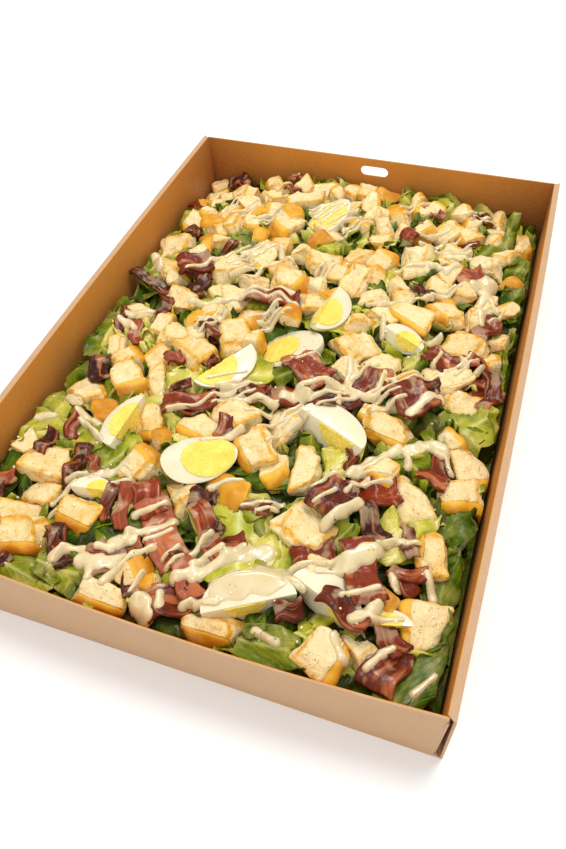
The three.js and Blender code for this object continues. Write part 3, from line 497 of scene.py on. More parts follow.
class Shader:
    """A material with one Principled surface, whose inputs are written as expressions."""

    def __init__(self, name, **constants):
        self.material = bpy.data.materials.new(name)
        self.material.use_nodes = True
        self.nodes = self.material.node_tree.nodes
        self.links = self.material.node_tree.links
        self.surface = self.nodes["Principled BSDF"]
        for key, value in constants.items():
            socket = key.replace("_", " ").title().replace("Ior", "IOR")
            self.surface.inputs[socket].default_value = value
        self.place = self.node("ShaderNodeTexCoord", {}, {}, "Object")

    def node(self, kind, settings, inputs, output=0):
        """Adds a node: its settings first, then the values or links of its sockets."""
        node = self.nodes.new(kind)
        for key, value in settings.items():
            if key == "stops":
                while len(node.color_ramp.elements) < len(value):
                    node.color_ramp.elements.new(1.0)
                for element, (position, colour) in zip(node.color_ramp.elements, value):
                    element.position = position
                    element.color = (*colour, 1)
            else:
                setattr(node, key, value)
        for key, value in inputs.items():
            self.feed(node.inputs[key], value)
        return Socket(self, node.outputs[output])

    def feed(self, socket, value):
        """Links an expression to a socket, or writes a number or a colour into it."""
        if isinstance(value, Socket):
            self.links.new(value.output, socket)
        elif hasattr(value, "__len__") and len(value) < len(socket.default_value):
            socket.default_value = (*value, 1)
        else:
            socket.default_value = value

    def set(self, **inputs):
        """Feeds the surface's own sockets, and hands back the finished material."""
        for key, value in inputs.items():
            self.feed(self.surface.inputs[key.replace("_", " ").title()], value)
        return self.material

    def noise(self, size, detail=2.0, distortion=0.0, stretch=None):
        """Noise whose features are `size` millimetres across."""
        place = self.place
        if stretch:
            place = self.node("ShaderNodeMapping", {}, {"Vector": place, "Scale": stretch})
        scale = 1 / (size * MM)
        inputs = {"Vector": place, "Scale": scale, "Detail": detail, "Distortion": distortion}
        return self.node("ShaderNodeTexNoise", {}, inputs)

    def dots(self, size):
        """The distance to the nearest of many points, `size` millimetres apart and scattered."""
        inputs = {"Vector": self.place, "Scale": 1 / (size * MM)}
        return self.node("ShaderNodeTexVoronoi", {"feature": "F1"}, inputs, "Distance")

    def mix(self, factor, low, high):
        """One colour where the factor is 0, the other where it is 1."""
        inputs = {0: factor, 6: low, 7: high}
        return self.node("ShaderNodeMix", {"data_type": "RGBA"}, inputs, 2)

    def marks(self, name):
        """The three numbers that a piece keeps for each of its vertices."""
        stored = self.node("ShaderNodeAttribute", {"attribute_name": name}, {}, "Vector")
        return [self.node("ShaderNodeSeparateXYZ", {}, {0: stored}, k) for k in range(3)]

    def axes(self):
        """The place in the row's frame, in metres, along each of its axes."""
        return [self.node("ShaderNodeSeparateXYZ", {}, {0: self.place}, k) for k in range(3)]

    def bump(self, height, depth):
        """A relief whose full height is `depth` millimetres."""
        inputs = {"Height": height, "Distance": depth * MM, "Strength": 1.0}
        return self.node("ShaderNodeBump", {}, inputs, "Normal")


# ---- settings -------------------------------------------------------------------------------


def colour_property(name, description, red, green, blue):
    return bpy.props.FloatVectorProperty(
        name=name, description=description, subtype="COLOR", size=3, min=0, max=1,
        default=linear(red, green, blue),
    )


def length_property(name, description, millimetres):
    return bpy.props.FloatProperty(
        name=name, description=description, default=millimetres * MM, min=0,
        subtype="DISTANCE", unit="LENGTH",
    )


class KraftSettings(bpy.types.PropertyGroup):
    outer: colour_property("Board", "Colour of the board's outer face", 195, 157, 120)
    inner: colour_property("Inside", "Colour of the board's inner face", 214, 140, 44)
    # The corner colour is painted shade, low on the inner faces and in the back corners.
    corner: colour_property("Corners", "Colour of the inner face low in the corners", 158, 88, 18)


class LettuceSettings(bpy.types.PropertyGroup):
    heart: colour_property("Heart", "Colour of the pale heart leaves", 226, 212, 112)
    middle: colour_property("Middle", "Colour of the middle leaves", 124, 130, 2)
    outer: colour_property("Outer", "Colour of the dark outer leaves", 66, 92, 0)
    # Painted shade: the green that the leaves take deep in the heap.
    deep_shade_green: colour_property("Deep", "Colour of the leaves deep in the heap", 42, 50, 0)
    rib: colour_property("Rib", "Colour of the ribs and veins", 218, 222, 152)
    blade: length_property("Blade", "Thickness of a leaf's blade", 0.6)
    spacing: length_property("Spacing", "Spacing of the leaves that fill the bed", 16.5)
    seed: bpy.props.IntProperty(name="Seed", description="Lays the filling leaves another way", default=4)


class CroutonSettings(bpy.types.PropertyGroup):
    crumb: colour_property("Crumb", "Colour of the torn crumb", 246, 223, 168)
    toast: colour_property("Toast", "Colour of the toasted edges", 230, 176, 70)
    crust: colour_property("Crust", "Colour of the crust", 238, 180, 52)
    seed: bpy.props.IntProperty(name="Seed", description="Tears the bread another way", default=7)


class EggSettings(bpy.types.PropertyGroup):
    white: colour_property("White", "Colour of the egg white", 236, 224, 186)
    yolk: colour_property("Yolk", "Colour of the yolk", 252, 226, 104)
    edge: length_property("Edge", "Roundness of the edges of the cut egg white", 0.5)


class BaconSettings(bpy.types.PropertyGroup):
    lean: colour_property("Lean", "Colour of the lean meat", 142, 46, 8)
    dark: colour_property("Dark", "Colour of the browned meat", 52, 18, 8)
    fat: colour_property("Fat", "Colour of the fat", 206, 130, 78)
    thickness: length_property("Thickness", "Thickness of a slice", 2.2)
    scraps: bpy.props.IntProperty(name="Scraps", description="Number of small scraps", default=60, min=0)
    seed: bpy.props.IntProperty(name="Seed", description="Scatters the scraps another way", default=5)


class DressingSettings(bpy.types.PropertyGroup):
    cream: colour_property("Cream", "Colour of the dressing", 240, 214, 160)
    step: length_property("Step", "Fineness of the dressing's surface", 0.75)
    seed: bpy.props.IntProperty(name="Seed", description="Lets the dressing run another way", default=3)


class StageSettings(bpy.types.PropertyGroup):
    floor: colour_property("Floor", "Colour of the floor", 255, 255, 255)
    key: bpy.props.FloatProperty(
        name="Key light", description="Power of the key light", default=23, unit="POWER", min=0,
    )
    fill: bpy.props.FloatProperty(
        name="Fill light", description="Power of the fill light", default=9, unit="POWER", min=0,
    )
    shine: bpy.props.FloatProperty(
        name="Shine", description="Power of the light that wet things mirror", default=10,
        unit="POWER", min=0,
    )
    sky: bpy.props.FloatProperty(
        name="Sky", description="Brightness of the room all round", default=0.68, min=0,
    )


# ---- the tray -------------------------------------------------------------------------------


class SALAD_OT_tray(bpy.types.Operator):
    """Gives the folded board its kraft paper finish, with painted shade low inside and in its back corners
    """

    bl_idname = "salad.tray"
    bl_label = "Finish the tray"

    pale_fibre, brown_cloud = (0.75, 0.55, 0.38), (0.40, 0.23, 0.11)
    dark_fleck = (0.16, 0.08, 0.035)

    def inside(self, place, shares):
        """1 on the inner faces, which begin at the middles of the boards, and 0 on the outer."""
        x, y, z = place
        across, along, up = shares
        side = (WALL_FOOT - RIM + SIDE_BOW - along * along * SIDE_BOW) * up
        side = side + (HALF_WIDTH - WALL_FOOT + BOARD / 2) - abs(x)
        tuck = (across - FRONT_PEAK) * (across - FRONT_PEAK) * FRONT_TUCK - FRONT_BOW
        front = y - (FOOT_Y + BOARD / 2) - tuck * up
        nearest = side.below(front).below(BACK_Y - BOARD / 2 - y).below(z - BOARD / 2)
        return (nearest * 2.0).clamped()

    def material(self, settings):
        shader = Shader("kraft_board", specular_ior_level=0.25)
        x, y, z = (axis / MM for axis in shader.axes())
        across, along, up = x / HALF_WIDTH, (y - MIDDLE_Y) / (FLOOR_LENGTH / 2), z / HEIGHT
        inner = self.inside((x, y, z), (across, along, up))
        # Painted shade: the inner faces are painted darker low down the walls and in the back corners.
        low = 1 - up.between(0.33, 0.97)
        corner = abs(across).between(0.55, 1.0) * along.between(0.5, 1.0)
        shade = (low * 0.5 + corner * 0.6).clamped()
        cloud = shader.noise(24, 3)
        fibre = shader.noise(1.3, 3, stretch=(0.35, 0.35, 1.6), distortion=0.6)
        fleck = shader.noise(2.4, 2, distortion=1.5).between(0.69, 0.76)
        board = shader.mix(shade, tuple(settings.inner), tuple(settings.corner))
        board = shader.mix(inner, tuple(settings.outer), board)
        board = shader.mix((fibre - 0.35) * 0.35, board, self.pale_fibre)
        board = shader.mix((cloud - 0.45).clamped() * 0.5, board, self.brown_cloud)
        board = shader.mix(fleck * 0.35, board, self.dark_fleck)
        relief = shader.bump(fibre * 0.7 + cloud * 0.3, 0.12)
        return shader.set(base_color=board, roughness=0.74 + fibre * 0.16, normal=relief)

    def execute(self, context):
        material = self.material(context.scene.salad_kraft)
        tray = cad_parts["tray"]
        for slot in tray.material_slots:
            slot.material = material
        return {"FINISHED"}


# ---- romaine --------------------------------------------------------------------------------

RIB_HEIGHT, RIB_WIDTH = 1.2, 0.16           # at a leaf's foot; the width is a share of the leaf's
FLATTEST_CUP = 0.2
SHALLOW, DEEP, DEEP_SHADE = 4, 17, 0.5      # depths between which a leaf is painted darker as shade, and by how much
YELLOW_LEAF, CREAMY_LEAF = linear(190, 182, 46), linear(232, 206, 124)


def leaf_grid(bm, steps, leaf, seed):
    """A torn piece of romaine round the origin, with its foot towards -X. Its size, the angles
    that it bends by along and across, its ruffle and its tone are given."""
    length, width, bend, cup, ruffle, tone = leaf
    verts = bmesh.ops.create_grid(bm, x_segments=steps[0], y_segments=steps[1], size=0.5)["verts"]
    layer = bm.verts.layers.float_vector.get("leaf")
    for vert in verts:
        u, side = vert.co.x + 0.5, 2 * vert.co.y
        vert[layer] = (u, side, tone)
        edge = abs(side)
        torn = 1 + 0.24 * wobble(u * 3.1, side, seed) + 0.08 * wobble(u * 9, side, seed + 5)
        girth = (0.42 + 0.58 * math.sin(math.pi * (0.75 * u + 0.12))) * torn
        end = (2 * abs(u - 0.5)) ** 3
        x = length * (u - 0.5) + 3.0 * wobble(side * 1.7, 4 * round(u), seed + 2) * end
        y = 0.5 * width * side * girth
        fold = ruffle * edge ** 2 * math.sin(8 * u + 2.5 * side + seed)
        frill = 0.5 * ruffle * edge ** 3 * wobble(u * 8, side * 2, seed + 9)
        blister = 0.8 * wobble(x / 7, y / 7, seed)
        rib = RIB_HEIGHT * math.exp(-(side / RIB_WIDTH) ** 2) * (1 - u)
        across = cup * side * (0.4 + 0.6 * u)
        lift = 0.5 * width * abs(cup) * (1 - math.cos(across)) / max(FLATTEST_CUP, abs(cup))
        z = fold + frill + blister + rib + lift * math.copysign(1, cup)
        y *= math.cos(0.6 * across)
        turn = bend * (u - 0.4)
        vert.co = (x * math.cos(0.5 * turn), y, z + 0.5 * length * (u - 0.4) * math.sin(turn))
    return verts


def romaine_material(name, settings, dull):
    """Veined blades from the painted shade deep in the heap and the dark outer leaves to the pale heart,
    read from each leaf's marks.
    How dull they are is their least roughness."""
    shader = Shader(
        name, specular_ior_level=0.14, subsurface_weight=0.12, subsurface_scale=0.002,
        subsurface_radius=(0.9, 1.0, 0.2), coat_roughness=0.1,
    )
    along, side, tone = shader.marks("leaf")
    edge = abs(side)
    grain = shader.noise(2.2, 3)
    patch = shader.noise(11, 2)
    wet = shader.noise(17, 3, distortion=0.8)
    rib = (1 - edge / (0.2 - along * 0.13)).clamped()
    bend = (edge * 0.8 - along * 1.6 + grain * 0.05 + patch * 0.12) * 30.0
    vein = (bend.sine() * 0.5 + 0.5) ** 7.0         # narrow ridges between broad fields
    green = tone + (patch - 0.5) * 0.8 - edge * 0.22 + 0.16
    # The lowest stop is painted shade for the leaves deep in the heap.
    stops = [
        (0.0, tuple(settings.deep_shade_green)), (0.16, tuple(settings.outer)), (0.5, tuple(settings.middle)),
        (0.8, YELLOW_LEAF), (1.0, tuple(settings.heart)),
    ]
    blade = shader.node("ShaderNodeValToRGB", {"stops": stops}, {"Fac": green.clamped()})
    light = tone.between(0.05, 0.9)
    blade = shader.mix(vein * (1 - edge * 0.6) * light * 0.34, blade, tuple(settings.rib))
    blade = shader.mix(rib * light * 0.9, blade, tuple(settings.rib))
    film = (wet + light * 0.1).between(0.52, 0.64) * (light * 0.8 + 0.2)
    blade = shader.mix(film * 0.5, blade, CREAMY_LEAF)
    relief = shader.bump(vein * -0.5 + grain * 0.5 + rib * 0.3, 0.45)
    return shader.set(
        base_color=blade, roughness=dull + grain * 0.2, coat_weight=0.04 + film * 0.4, normal=relief,
    )


def under_toppings(verts, toppings, gap):
    """Presses down the parts of a leaf that would stand through a topping."""
    for vert in verts:
        top = toppings.at(vert.co.x, vert.co.y)
        if top:
            vert.co.z = min(vert.co.z, top - gap)


def below_crown(verts, gap):
    """Presses down the parts of a leaf that would stand above the mound of toppings."""
    for vert in verts:
        vert.co.z = min(vert.co.z, topping_height(vert.co.x, vert.co.y) - gap)


def shaded_where_deep(bm, verts):
    """Paints shade on a leaf: a darker green where it lies deep in the heap."""
    layer = bm.verts.layers.float_vector.get("leaf")
    for vert in verts:
        depth = smoothstep(SHALLOW, DEEP, topping_height(vert.co.x, vert.co.y) - vert.co.z)
        vert[layer] = vert[layer] - Vector((0, 0, DEEP_SHADE * depth))


class SALAD_OT_bed(bpy.types.Operator):
    """Fills the tray with the crumpled bed that shows between the leaves, painted dark as the shade there
    """

    bl_idname = "salad.bed"
    bl_label = "Lay the bed"

    depth = 20
    steps = (70, 100)
    crease = 50

    def execute(self, context):
        settings = context.scene.salad_lettuce
        columns, rows = self.steps
        bm = fresh("leaf")
        made = bmesh.ops.create_grid(bm, x_segments=columns, y_segments=rows, size=0.5)
        layer = bm.verts.layers.float_vector.get("leaf")
        reach_y = (INSIDE_BACK - INSIDE_FRONT) / 2
        middle_y = (INSIDE_BACK + INSIDE_FRONT) / 2
        for vert in made["verts"]:
            x, y = 2 * vert.co.x * INSIDE_X, middle_y + 2 * vert.co.y * reach_y
            crumple = 3.2 * wobble(x / 14, y / 14, 1) + 1.6 * wobble(x / 5, y / 5, 2)
            # The bed's low tones are painted shade: a dark green for the gaps between the leaves.
            green = 0.15 + 0.4 * wobble(x / 40, y / 40, 3)
            vert[layer] = ((x / 60) % 1, 0.9 * wobble(x / 21, y / 21, 8), green)
            vert.co = (x, y, topping_height(x, y) - self.depth + crumple)
        kept_inside(made["verts"])
        rim = [edge for edge in bm.edges if edge.is_boundary]
        skirt = bmesh.ops.extrude_edge_only(bm, edges=rim)["geom"]
        for vert in (item for item in skirt if isinstance(item, bmesh.types.BMVert)):
            vert.co.z = BOARD + 0.5
        floor = [edge for edge in bm.edges if edge.is_boundary]
        bmesh.ops.holes_fill(bm, edges=floor, sides=len(floor))
        bmesh.ops.recalc_face_normals(bm, faces=bm.faces)
        material = romaine_material("romaine_bed", settings, 0.4)
        finished(bm, "romaine_bed", material, ["lettuce"], self.crease)
        return {"FINISHED"}


class SALAD_OT_romaine(bpy.types.Operator):
    """Lays the large torn leaves in their places and fills the bed round them with smaller ones"""

    bl_idname = "salad.romaine"
    bl_label = "Lay the romaine"

    large_depth, fill_depth = 7, 13
    large_steps, fill_steps = (28, 20), (10, 8)
    ruffle = 2.4
    longer, wider = 1.15, 1.2       # a leaf's tears take this back
    crown_gap, press, slack = 1.5, 3.5, 5
    toppings_step = 1.2

    def lay(self, bm, verts, matrix, place, toppings, crown_gap=None):
        """Turns a leaf, puts it in its place and settles it under and beside what lies there."""
        bmesh.ops.transform(bm, matrix=matrix, verts=verts)
        bmesh.ops.translate(bm, vec=place, verts=verts)
        if crown_gap:
            below_crown(verts, crown_gap)
        under_toppings(verts, toppings, self.press)
        kept_inside(verts, self.slack)
        shaded_where_deep(bm, verts)

    def large_leaves(self, settings, toppings):
        bm = fresh("leaf")
        for index, (x, y, length, width, yaw, rise, curl, tone) in enumerate(LEAVES):
            y += MIDDLE_Y
            bend = 2 * rise / length
            cup = 2.4 * curl / width * (1 if index % 3 else -0.7)
            leaf = (length * self.longer, width * self.wider, bend, cup, self.ruffle, tone)
            verts = leaf_grid(bm, self.large_steps, leaf, index * 3.7)
            place = (x, y, topping_height(x, y) - self.large_depth)
            self.lay(bm, verts, turned(yaw), place, toppings)
        material = romaine_material("romaine_leaf", settings, 0.2)
        piece = finished(bm, "romaine_leaves", material, ["lettuce"])
        thickened(piece, settings.blade / MM)

    def filling_leaves(self, settings, toppings):
        bm = fresh("leaf")
        draw = random.Random(settings.seed)
        spacing = settings.spacing / MM
        columns, rows = int(2 * INSIDE_X / spacing), int(FLOOR_LENGTH / spacing)
        for column in range(columns):
            for row in range(rows):
                x = -INSIDE_X + (column + draw.uniform(0.1, 0.9)) * 2 * INSIDE_X / columns
                y = INSIDE_FRONT + (row + draw.uniform(0.1, 0.9)) * (INSIDE_BACK - INSIDE_FRONT) / rows
                tone = 0.5 + 0.5 * wobble(x / 45, y / 45, 6) + draw.uniform(-0.35, 0.35)
                tone -= 0.3 * smoothstep(90, 140, x)
                leaf = (
                    draw.uniform(26, 44), draw.uniform(16, 30), draw.uniform(-0.6, 1.2),
                    draw.uniform(-1.3, 1.5), draw.uniform(1.2, 2.8), tone,
                )
                verts = leaf_grid(bm, self.fill_steps, leaf, draw.uniform(0, 99))
                tip = turned(draw.uniform(0, 360), draw.uniform(-45, 45), draw.uniform(-22, 22))
                top = topping_height(x, y) - self.fill_depth + draw.uniform(-3, 2)
                self.lay(bm, verts, tip, (x, y, top), toppings, self.crown_gap)
        material = romaine_material("romaine_torn", settings, 0.22)
        piece = finished(bm, "romaine_torn", material, ["lettuce"])
        thickened(piece, settings.blade / MM)

    def execute(self, context):
        settings = context.scene.salad_lettuce
        names = ("croutons", "crouton_chunks", "egg_whites", "bacon")
        toppings = Heights(names, self.toppings_step)
        self.large_leaves(settings, toppings)
        self.filling_leaves(settings, toppings)
        return {"FINISHED"}


# ---- croutons -------------------------------------------------------------------------------

FULL_SIZE = 75                              # length + width + height from which tears are full size
LUMP, TEAR, PORE = 2.4, 1.1, 0.45           # heights of the crumb's relief
TAPER = 0.24                                # how much wider an end may be than the middle
CHOPS, CHOP_REACH, CHOP_SHARE = 6, (0.84, 1.16), 0.85       # corners that are torn off
CRUST_FROM = 0.42                           # where the crust begins, from the middle to its side
CRUMB_POWER, CRUST_POWER = 13, 4            # how square the sides are: the higher, the squarer
CROUTON_CREASE = 38
# HOLE_SHADE is painted shade, the darker gold of the crumb's pores and hollows.
BURNT, HOLE_SHADE = linear(210, 138, 36), linear(228, 172, 86)
BROWN_CRUST, CREAMY_BREAD = linear(196, 118, 20), linear(238, 214, 162)


def crouton(bm, size, side, draw, cuts):
    """A torn cube of bread round the origin: worn edges, ragged crumb, one side domed crust."""
    verts = bmesh.ops.create_cube(bm, size=1)["verts"]
    edges = list({edge for vert in verts for edge in vert.link_edges})
    grown = bmesh.ops.subdivide_edges(bm, edges=edges, cuts=cuts, use_grid_fill=True)
    faces = [face for face in grown["geom"] if isinstance(face, bmesh.types.BMFace)]
    verts = list({vert for face in faces for vert in face.verts})
    layer = bm.verts.layers.float_vector.get("bread")
    side, size = Vector(side), Vector(size)
    tone, seed = draw.random(), draw.uniform(0, 99)
    rough = min(1, sum(size) / FULL_SIZE)
    taper = [draw.uniform(-TAPER, TAPER) for _ in range(4)]
    chops = [
        (Vector(draw.uniform(-1, 1) for _ in range(3)).normalized(), draw.uniform(*CHOP_REACH))
        for _ in range(CHOPS)
    ]
    for vert in verts:
        spot = 2 * vert.co
        towards = spot.dot(side)
        crust = min(1, max(0, (towards - CRUST_FROM) / (1 - CRUST_FROM)))
        ordered = sorted(abs(value) for value in spot)
        rim = smoothstep(0.7, 1.0, ordered[1])
        vert[layer] = (crust, rim, tone)
        power = CRUMB_POWER - (CRUMB_POWER - CRUST_POWER) * smoothstep(-0.1, 0.9, towards)
        spot /= sum(abs(value) ** power for value in spot) ** (1 / power)
        flat_x = spot.x * (1 + taper[0] * spot.y + taper[1] * spot.z)
        flat_y = spot.y * (1 + taper[2] * spot.x + taper[3] * spot.z)
        spot.x, spot.y = flat_x, flat_y
        for normal, reach in chops:
            beyond = spot.dot(normal) - reach
            if beyond > 0 and normal.dot(side) < 0.3:
                spot -= normal * beyond * CHOP_SHARE
        place = Vector(spot[k] * size[k] / 2 for k in range(3))
        lump = LUMP * rough * wobble(*(place / 9 + Vector((seed, 0, 0))))
        tear = TEAR * rough * wobble(*(place / 4 + Vector((0, seed, 0))))
        tear += PORE * wobble(*(place / 2.2 + Vector((0, 0, seed))))
        vert.co = place + spot.normalized() * (lump + tear * (1 - 0.8 * smoothstep(0, 0.3, crust)))
    return verts


def bread_material(settings):
    """Torn crumb with toasted edges, painted shade in its pores and hollows, a glossier crust that browns
    towards its middle, partly as painted shade, and a coat of dressing in places.
    """
    shader = Shader(
        "toasted_bread", specular_ior_level=0.25, subsurface_weight=0.12, subsurface_scale=0.003,
        subsurface_radius=(1.0, 0.7, 0.35), coat_roughness=0.2,
    )
    crust, rim, tone = shader.marks("bread")
    grain = shader.noise(1.3, 5)
    coarse = shader.noise(3.4, 4, distortion=0.6)
    patch = shader.noise(9, 3)
    pores = 1 - shader.dots(1.9).between(0.06, 0.3)
    pores = pores * shader.noise(4, 1).between(0.5, 0.65)
    crusted = (crust + (grain - 0.5) * 0.2).between(0.04, 0.2)
    toasted = rim * 0.9 + (patch - 0.5) * 1.6 + (coarse - 0.5) * 1.6 + (tone - 0.5) * 0.6
    toasted = toasted.between(-0.08, 0.84)
    burnt = toasted.between(0.75, 1.0) * coarse.between(0.45, 0.65)
    # Painted shade: the pores and the hollows of the crumb's relief are painted a darker gold.
    hole_shade = (pores * 0.6 + (0.5 - coarse) * 3.0).clamped()
    crumb = shader.mix(toasted, tuple(settings.crumb), tuple(settings.toast))
    crumb = shader.mix(burnt * 0.7, crumb, BURNT)
    crumb = shader.mix(hole_shade * 0.6, crumb, HOLE_SHADE)
    # Darker brown towards the middle of the crust: partly its own browning, partly painted shade.
    baked_and_shaded = (crust * 0.7 + (patch - 0.5) * 1.4 + (tone - 0.5) * 0.6).between(0.2, 1.1)
    brown = shader.mix(baked_and_shaded, tuple(settings.crust), BROWN_CRUST)
    colour = shader.mix(crusted, crumb, brown)
    coated = shader.noise(15, 2, distortion=0.7).between(0.56, 0.64) * (1 - crusted * 0.8)
    colour = shader.mix(coated * 0.62, colour, CREAMY_BREAD)
    relief = (grain * 0.5 + coarse * 1.2 - pores * 0.8) * (1 - crusted * 0.8) * (1 - coated * 0.6)
    return shader.set(
        base_color=colour, roughness=0.78 - crusted * 0.38 - coated * 0.4, coat_weight=coated * 0.4,
        normal=shader.bump(relief, 1.1),
    )


class SALAD_OT_croutons(bpy.types.Operator):
    """Tears the croutons and lays them over the salad"""

    bl_idname = "salad.croutons"
    bl_label = "Lay the croutons"

    tilt, chunk_tilt = 20, 30
    chunks, most_tries = 85, 4000
    fine, coarse = 13, 9            # cuts along an edge of a crouton and of a chunk
    sunk, raised = 4, 1             # how far their tops may be from the mound's height
    margin, back_margin = 10, 9     # from the walls to the middle of a chunk
    egg_radius = 15
    overlap = 0.74                  # least share of two radii between their middles

    def fill_gaps(self, bm, draw):
        """Adds broken chunks where the salad lies open, more of them towards the back."""
        taken = [(x, y + MIDDLE_Y, (length + width) / 4) for x, y, length, width, *_ in CROUTONS]
        taken += [(x, y + MIDDLE_Y, self.egg_radius * size) for x, y, *_, size, _ in EGGS]
        taken += [(x, y + MIDDLE_Y, length / 4) for x, y, _, length, *_ in BACON]
        placed = tries = 0
        while placed < self.chunks and tries < self.most_tries:
            tries += 1
            x = draw.uniform(-INSIDE_X + self.margin, INSIDE_X - self.margin)
            y = draw.uniform(INSIDE_FRONT + self.margin, INSIDE_BACK - self.back_margin)
            size = [draw.uniform(14, 25), draw.uniform(12, 19), draw.uniform(12, 17)]
            radius = (size[0] + size[1]) / 4
            wanted = 0.08 + 0.92 * smoothstep(-40, 120, y)
            clear = all(math.hypot(x - a, y - b) > self.overlap * (radius + c) for a, b, c in taken)
            if not clear or draw.random() > wanted:
                continue
            placed += 1
            taken.append((x, y, radius))
            side = SIDES[draw.choice(("east", "west", "top", "none", "none", "south"))]
            verts = crouton(bm, size, side, draw, self.coarse)
            tip = turned(draw.uniform(0, 360), *self.tipped(draw, self.chunk_tilt))
            bmesh.ops.transform(bm, matrix=tip, verts=verts)
            self.hang(bm, verts, x, y, topping_height(x, y) + draw.uniform(-self.sunk, self.raised))

    def tipped(self, draw, most):
        """Two random angles to tip a piece by."""
        return draw.uniform(-most, most), draw.uniform(-most, most)

    def hang(self, bm, verts, x, y, top):
        """Puts a piece in its place with its highest corner at the height given."""
        bmesh.ops.translate(bm, vec=(x, y, top - box_of(verts)[1].z), verts=verts)
        kept_inside(verts)

    def execute(self, context):
        settings = context.scene.salad_croutons
        draw = random.Random(settings.seed)
        bm = fresh("bread")
        nodes = node_names("crouton")
        bed = solid_tree("lettuce")
        for index, (x, y, length, width, height, yaw, side) in enumerate(CROUTONS):
            node = f"crouton_{index + 1:02d}"
            y += MIDDLE_Y
            verts = crouton(bm, (length, width, height), SIDES[side], draw, self.fine)
            tip = turned(yaw, *self.tipped(draw, self.tilt))
            bmesh.ops.transform(bm, matrix=tip, verts=verts)
            if node in nodes:
                fitted(verts, node)
                continue
            hit = bed.ray_cast(Vector((x * MM, y * MM, 1)), Vector((0, 0, -1)))[0]
            mound = topping_height(x, y)
            top = min(max(hit.z / MM, mound - self.sunk), mound + self.raised)
            self.hang(bm, verts, x, y, top)
        material, slot = bread_material(settings), "toasted_bread"
        finished(bm, "croutons", material, [*nodes, "lettuce"], CROUTON_CREASE)
        bm = fresh("bread")
        self.fill_gaps(bm, draw)
        finished(bm, "crouton_chunks", material, ["lettuce"], CROUTON_CREASE)
        return {"FINISHED"}


# ---- eggs -----------------------------------------------------------------------------------

EGG_ACROSS, EGG_ALONG, YOLK_FINENESS = 36, 24, 4            # how finely the round forms are divided
WELD, CAP_CUTS = 0.02, 3                    # a cut's tolerance, and the cuts of edges in its face
NARROW_WEDGE = 120                          # under this angle a yolk crumbles from its second cut
CREAMY_EGG = linear(242, 232, 204)
DEEP_YOLK, PALE_YOLK = linear(246, 208, 74), linear(255, 240, 160)


def egg_frame(yaw, lean, towards):
    """Turns an egg's piece as its solid is turned: about the vertical, then leaning over."""
    angle = math.radians(towards)
    axis = Vector((-math.sin(angle), math.cos(angle), 0))
    return Matrix.Rotation(math.radians(lean), 4, axis) @ Matrix.Rotation(math.radians(yaw), 4, "Z")


def egg_cuts(sector):
    """Normals of the planes that cut a piece from a whole egg."""
    cuts = [Vector((0, 0, 1))]
    if sector < 180:
        turn = math.radians(180 - sector)
        cuts.append(Vector((0, -math.sin(turn), math.cos(turn))))
    return cuts


def cut_ball(bm, verts, cuts, prouds):
    """Cuts a closed ball along planes through the long axis, or as far outside them as stated."""
    for normal, proud in zip(cuts, prouds):
        faces = {face for vert in verts for face in vert.link_faces}
        edges = {edge for vert in verts for edge in vert.link_edges}
        cut = bmesh.ops.bisect_plane(
            bm, geom=[*verts, *edges, *faces], dist=WELD, plane_co=normal * proud, plane_no=normal,
            clear_outer=True,
        )
        seam = [item for item in cut["geom_cut"] if isinstance(item, bmesh.types.BMEdge)]
        seam = [edge for edge in seam if edge.is_boundary]
        filled = bmesh.ops.contextual_create(bm, geom=seam)
        caps = bmesh.ops.triangulate(bm, faces=filled["faces"])
        inner = {edge for face in caps["faces"] for edge in face.edges} - set(seam)
        bmesh.ops.subdivide_edges(bm, edges=list(inner), cuts=CAP_CUTS)
        verts = connected(seam)
    return verts


def connected(seam):
    """All vertices of the body that a seam belongs to."""
    start = next(edge for edge in seam if edge.is_valid).verts[0]
    found, queue = {start}, [start]
    while queue:
        for edge in queue.pop().link_edges:
            for vert in edge.verts:
                if vert not in found:
                    found.add(vert)
                    queue.append(vert)
    return list(found)


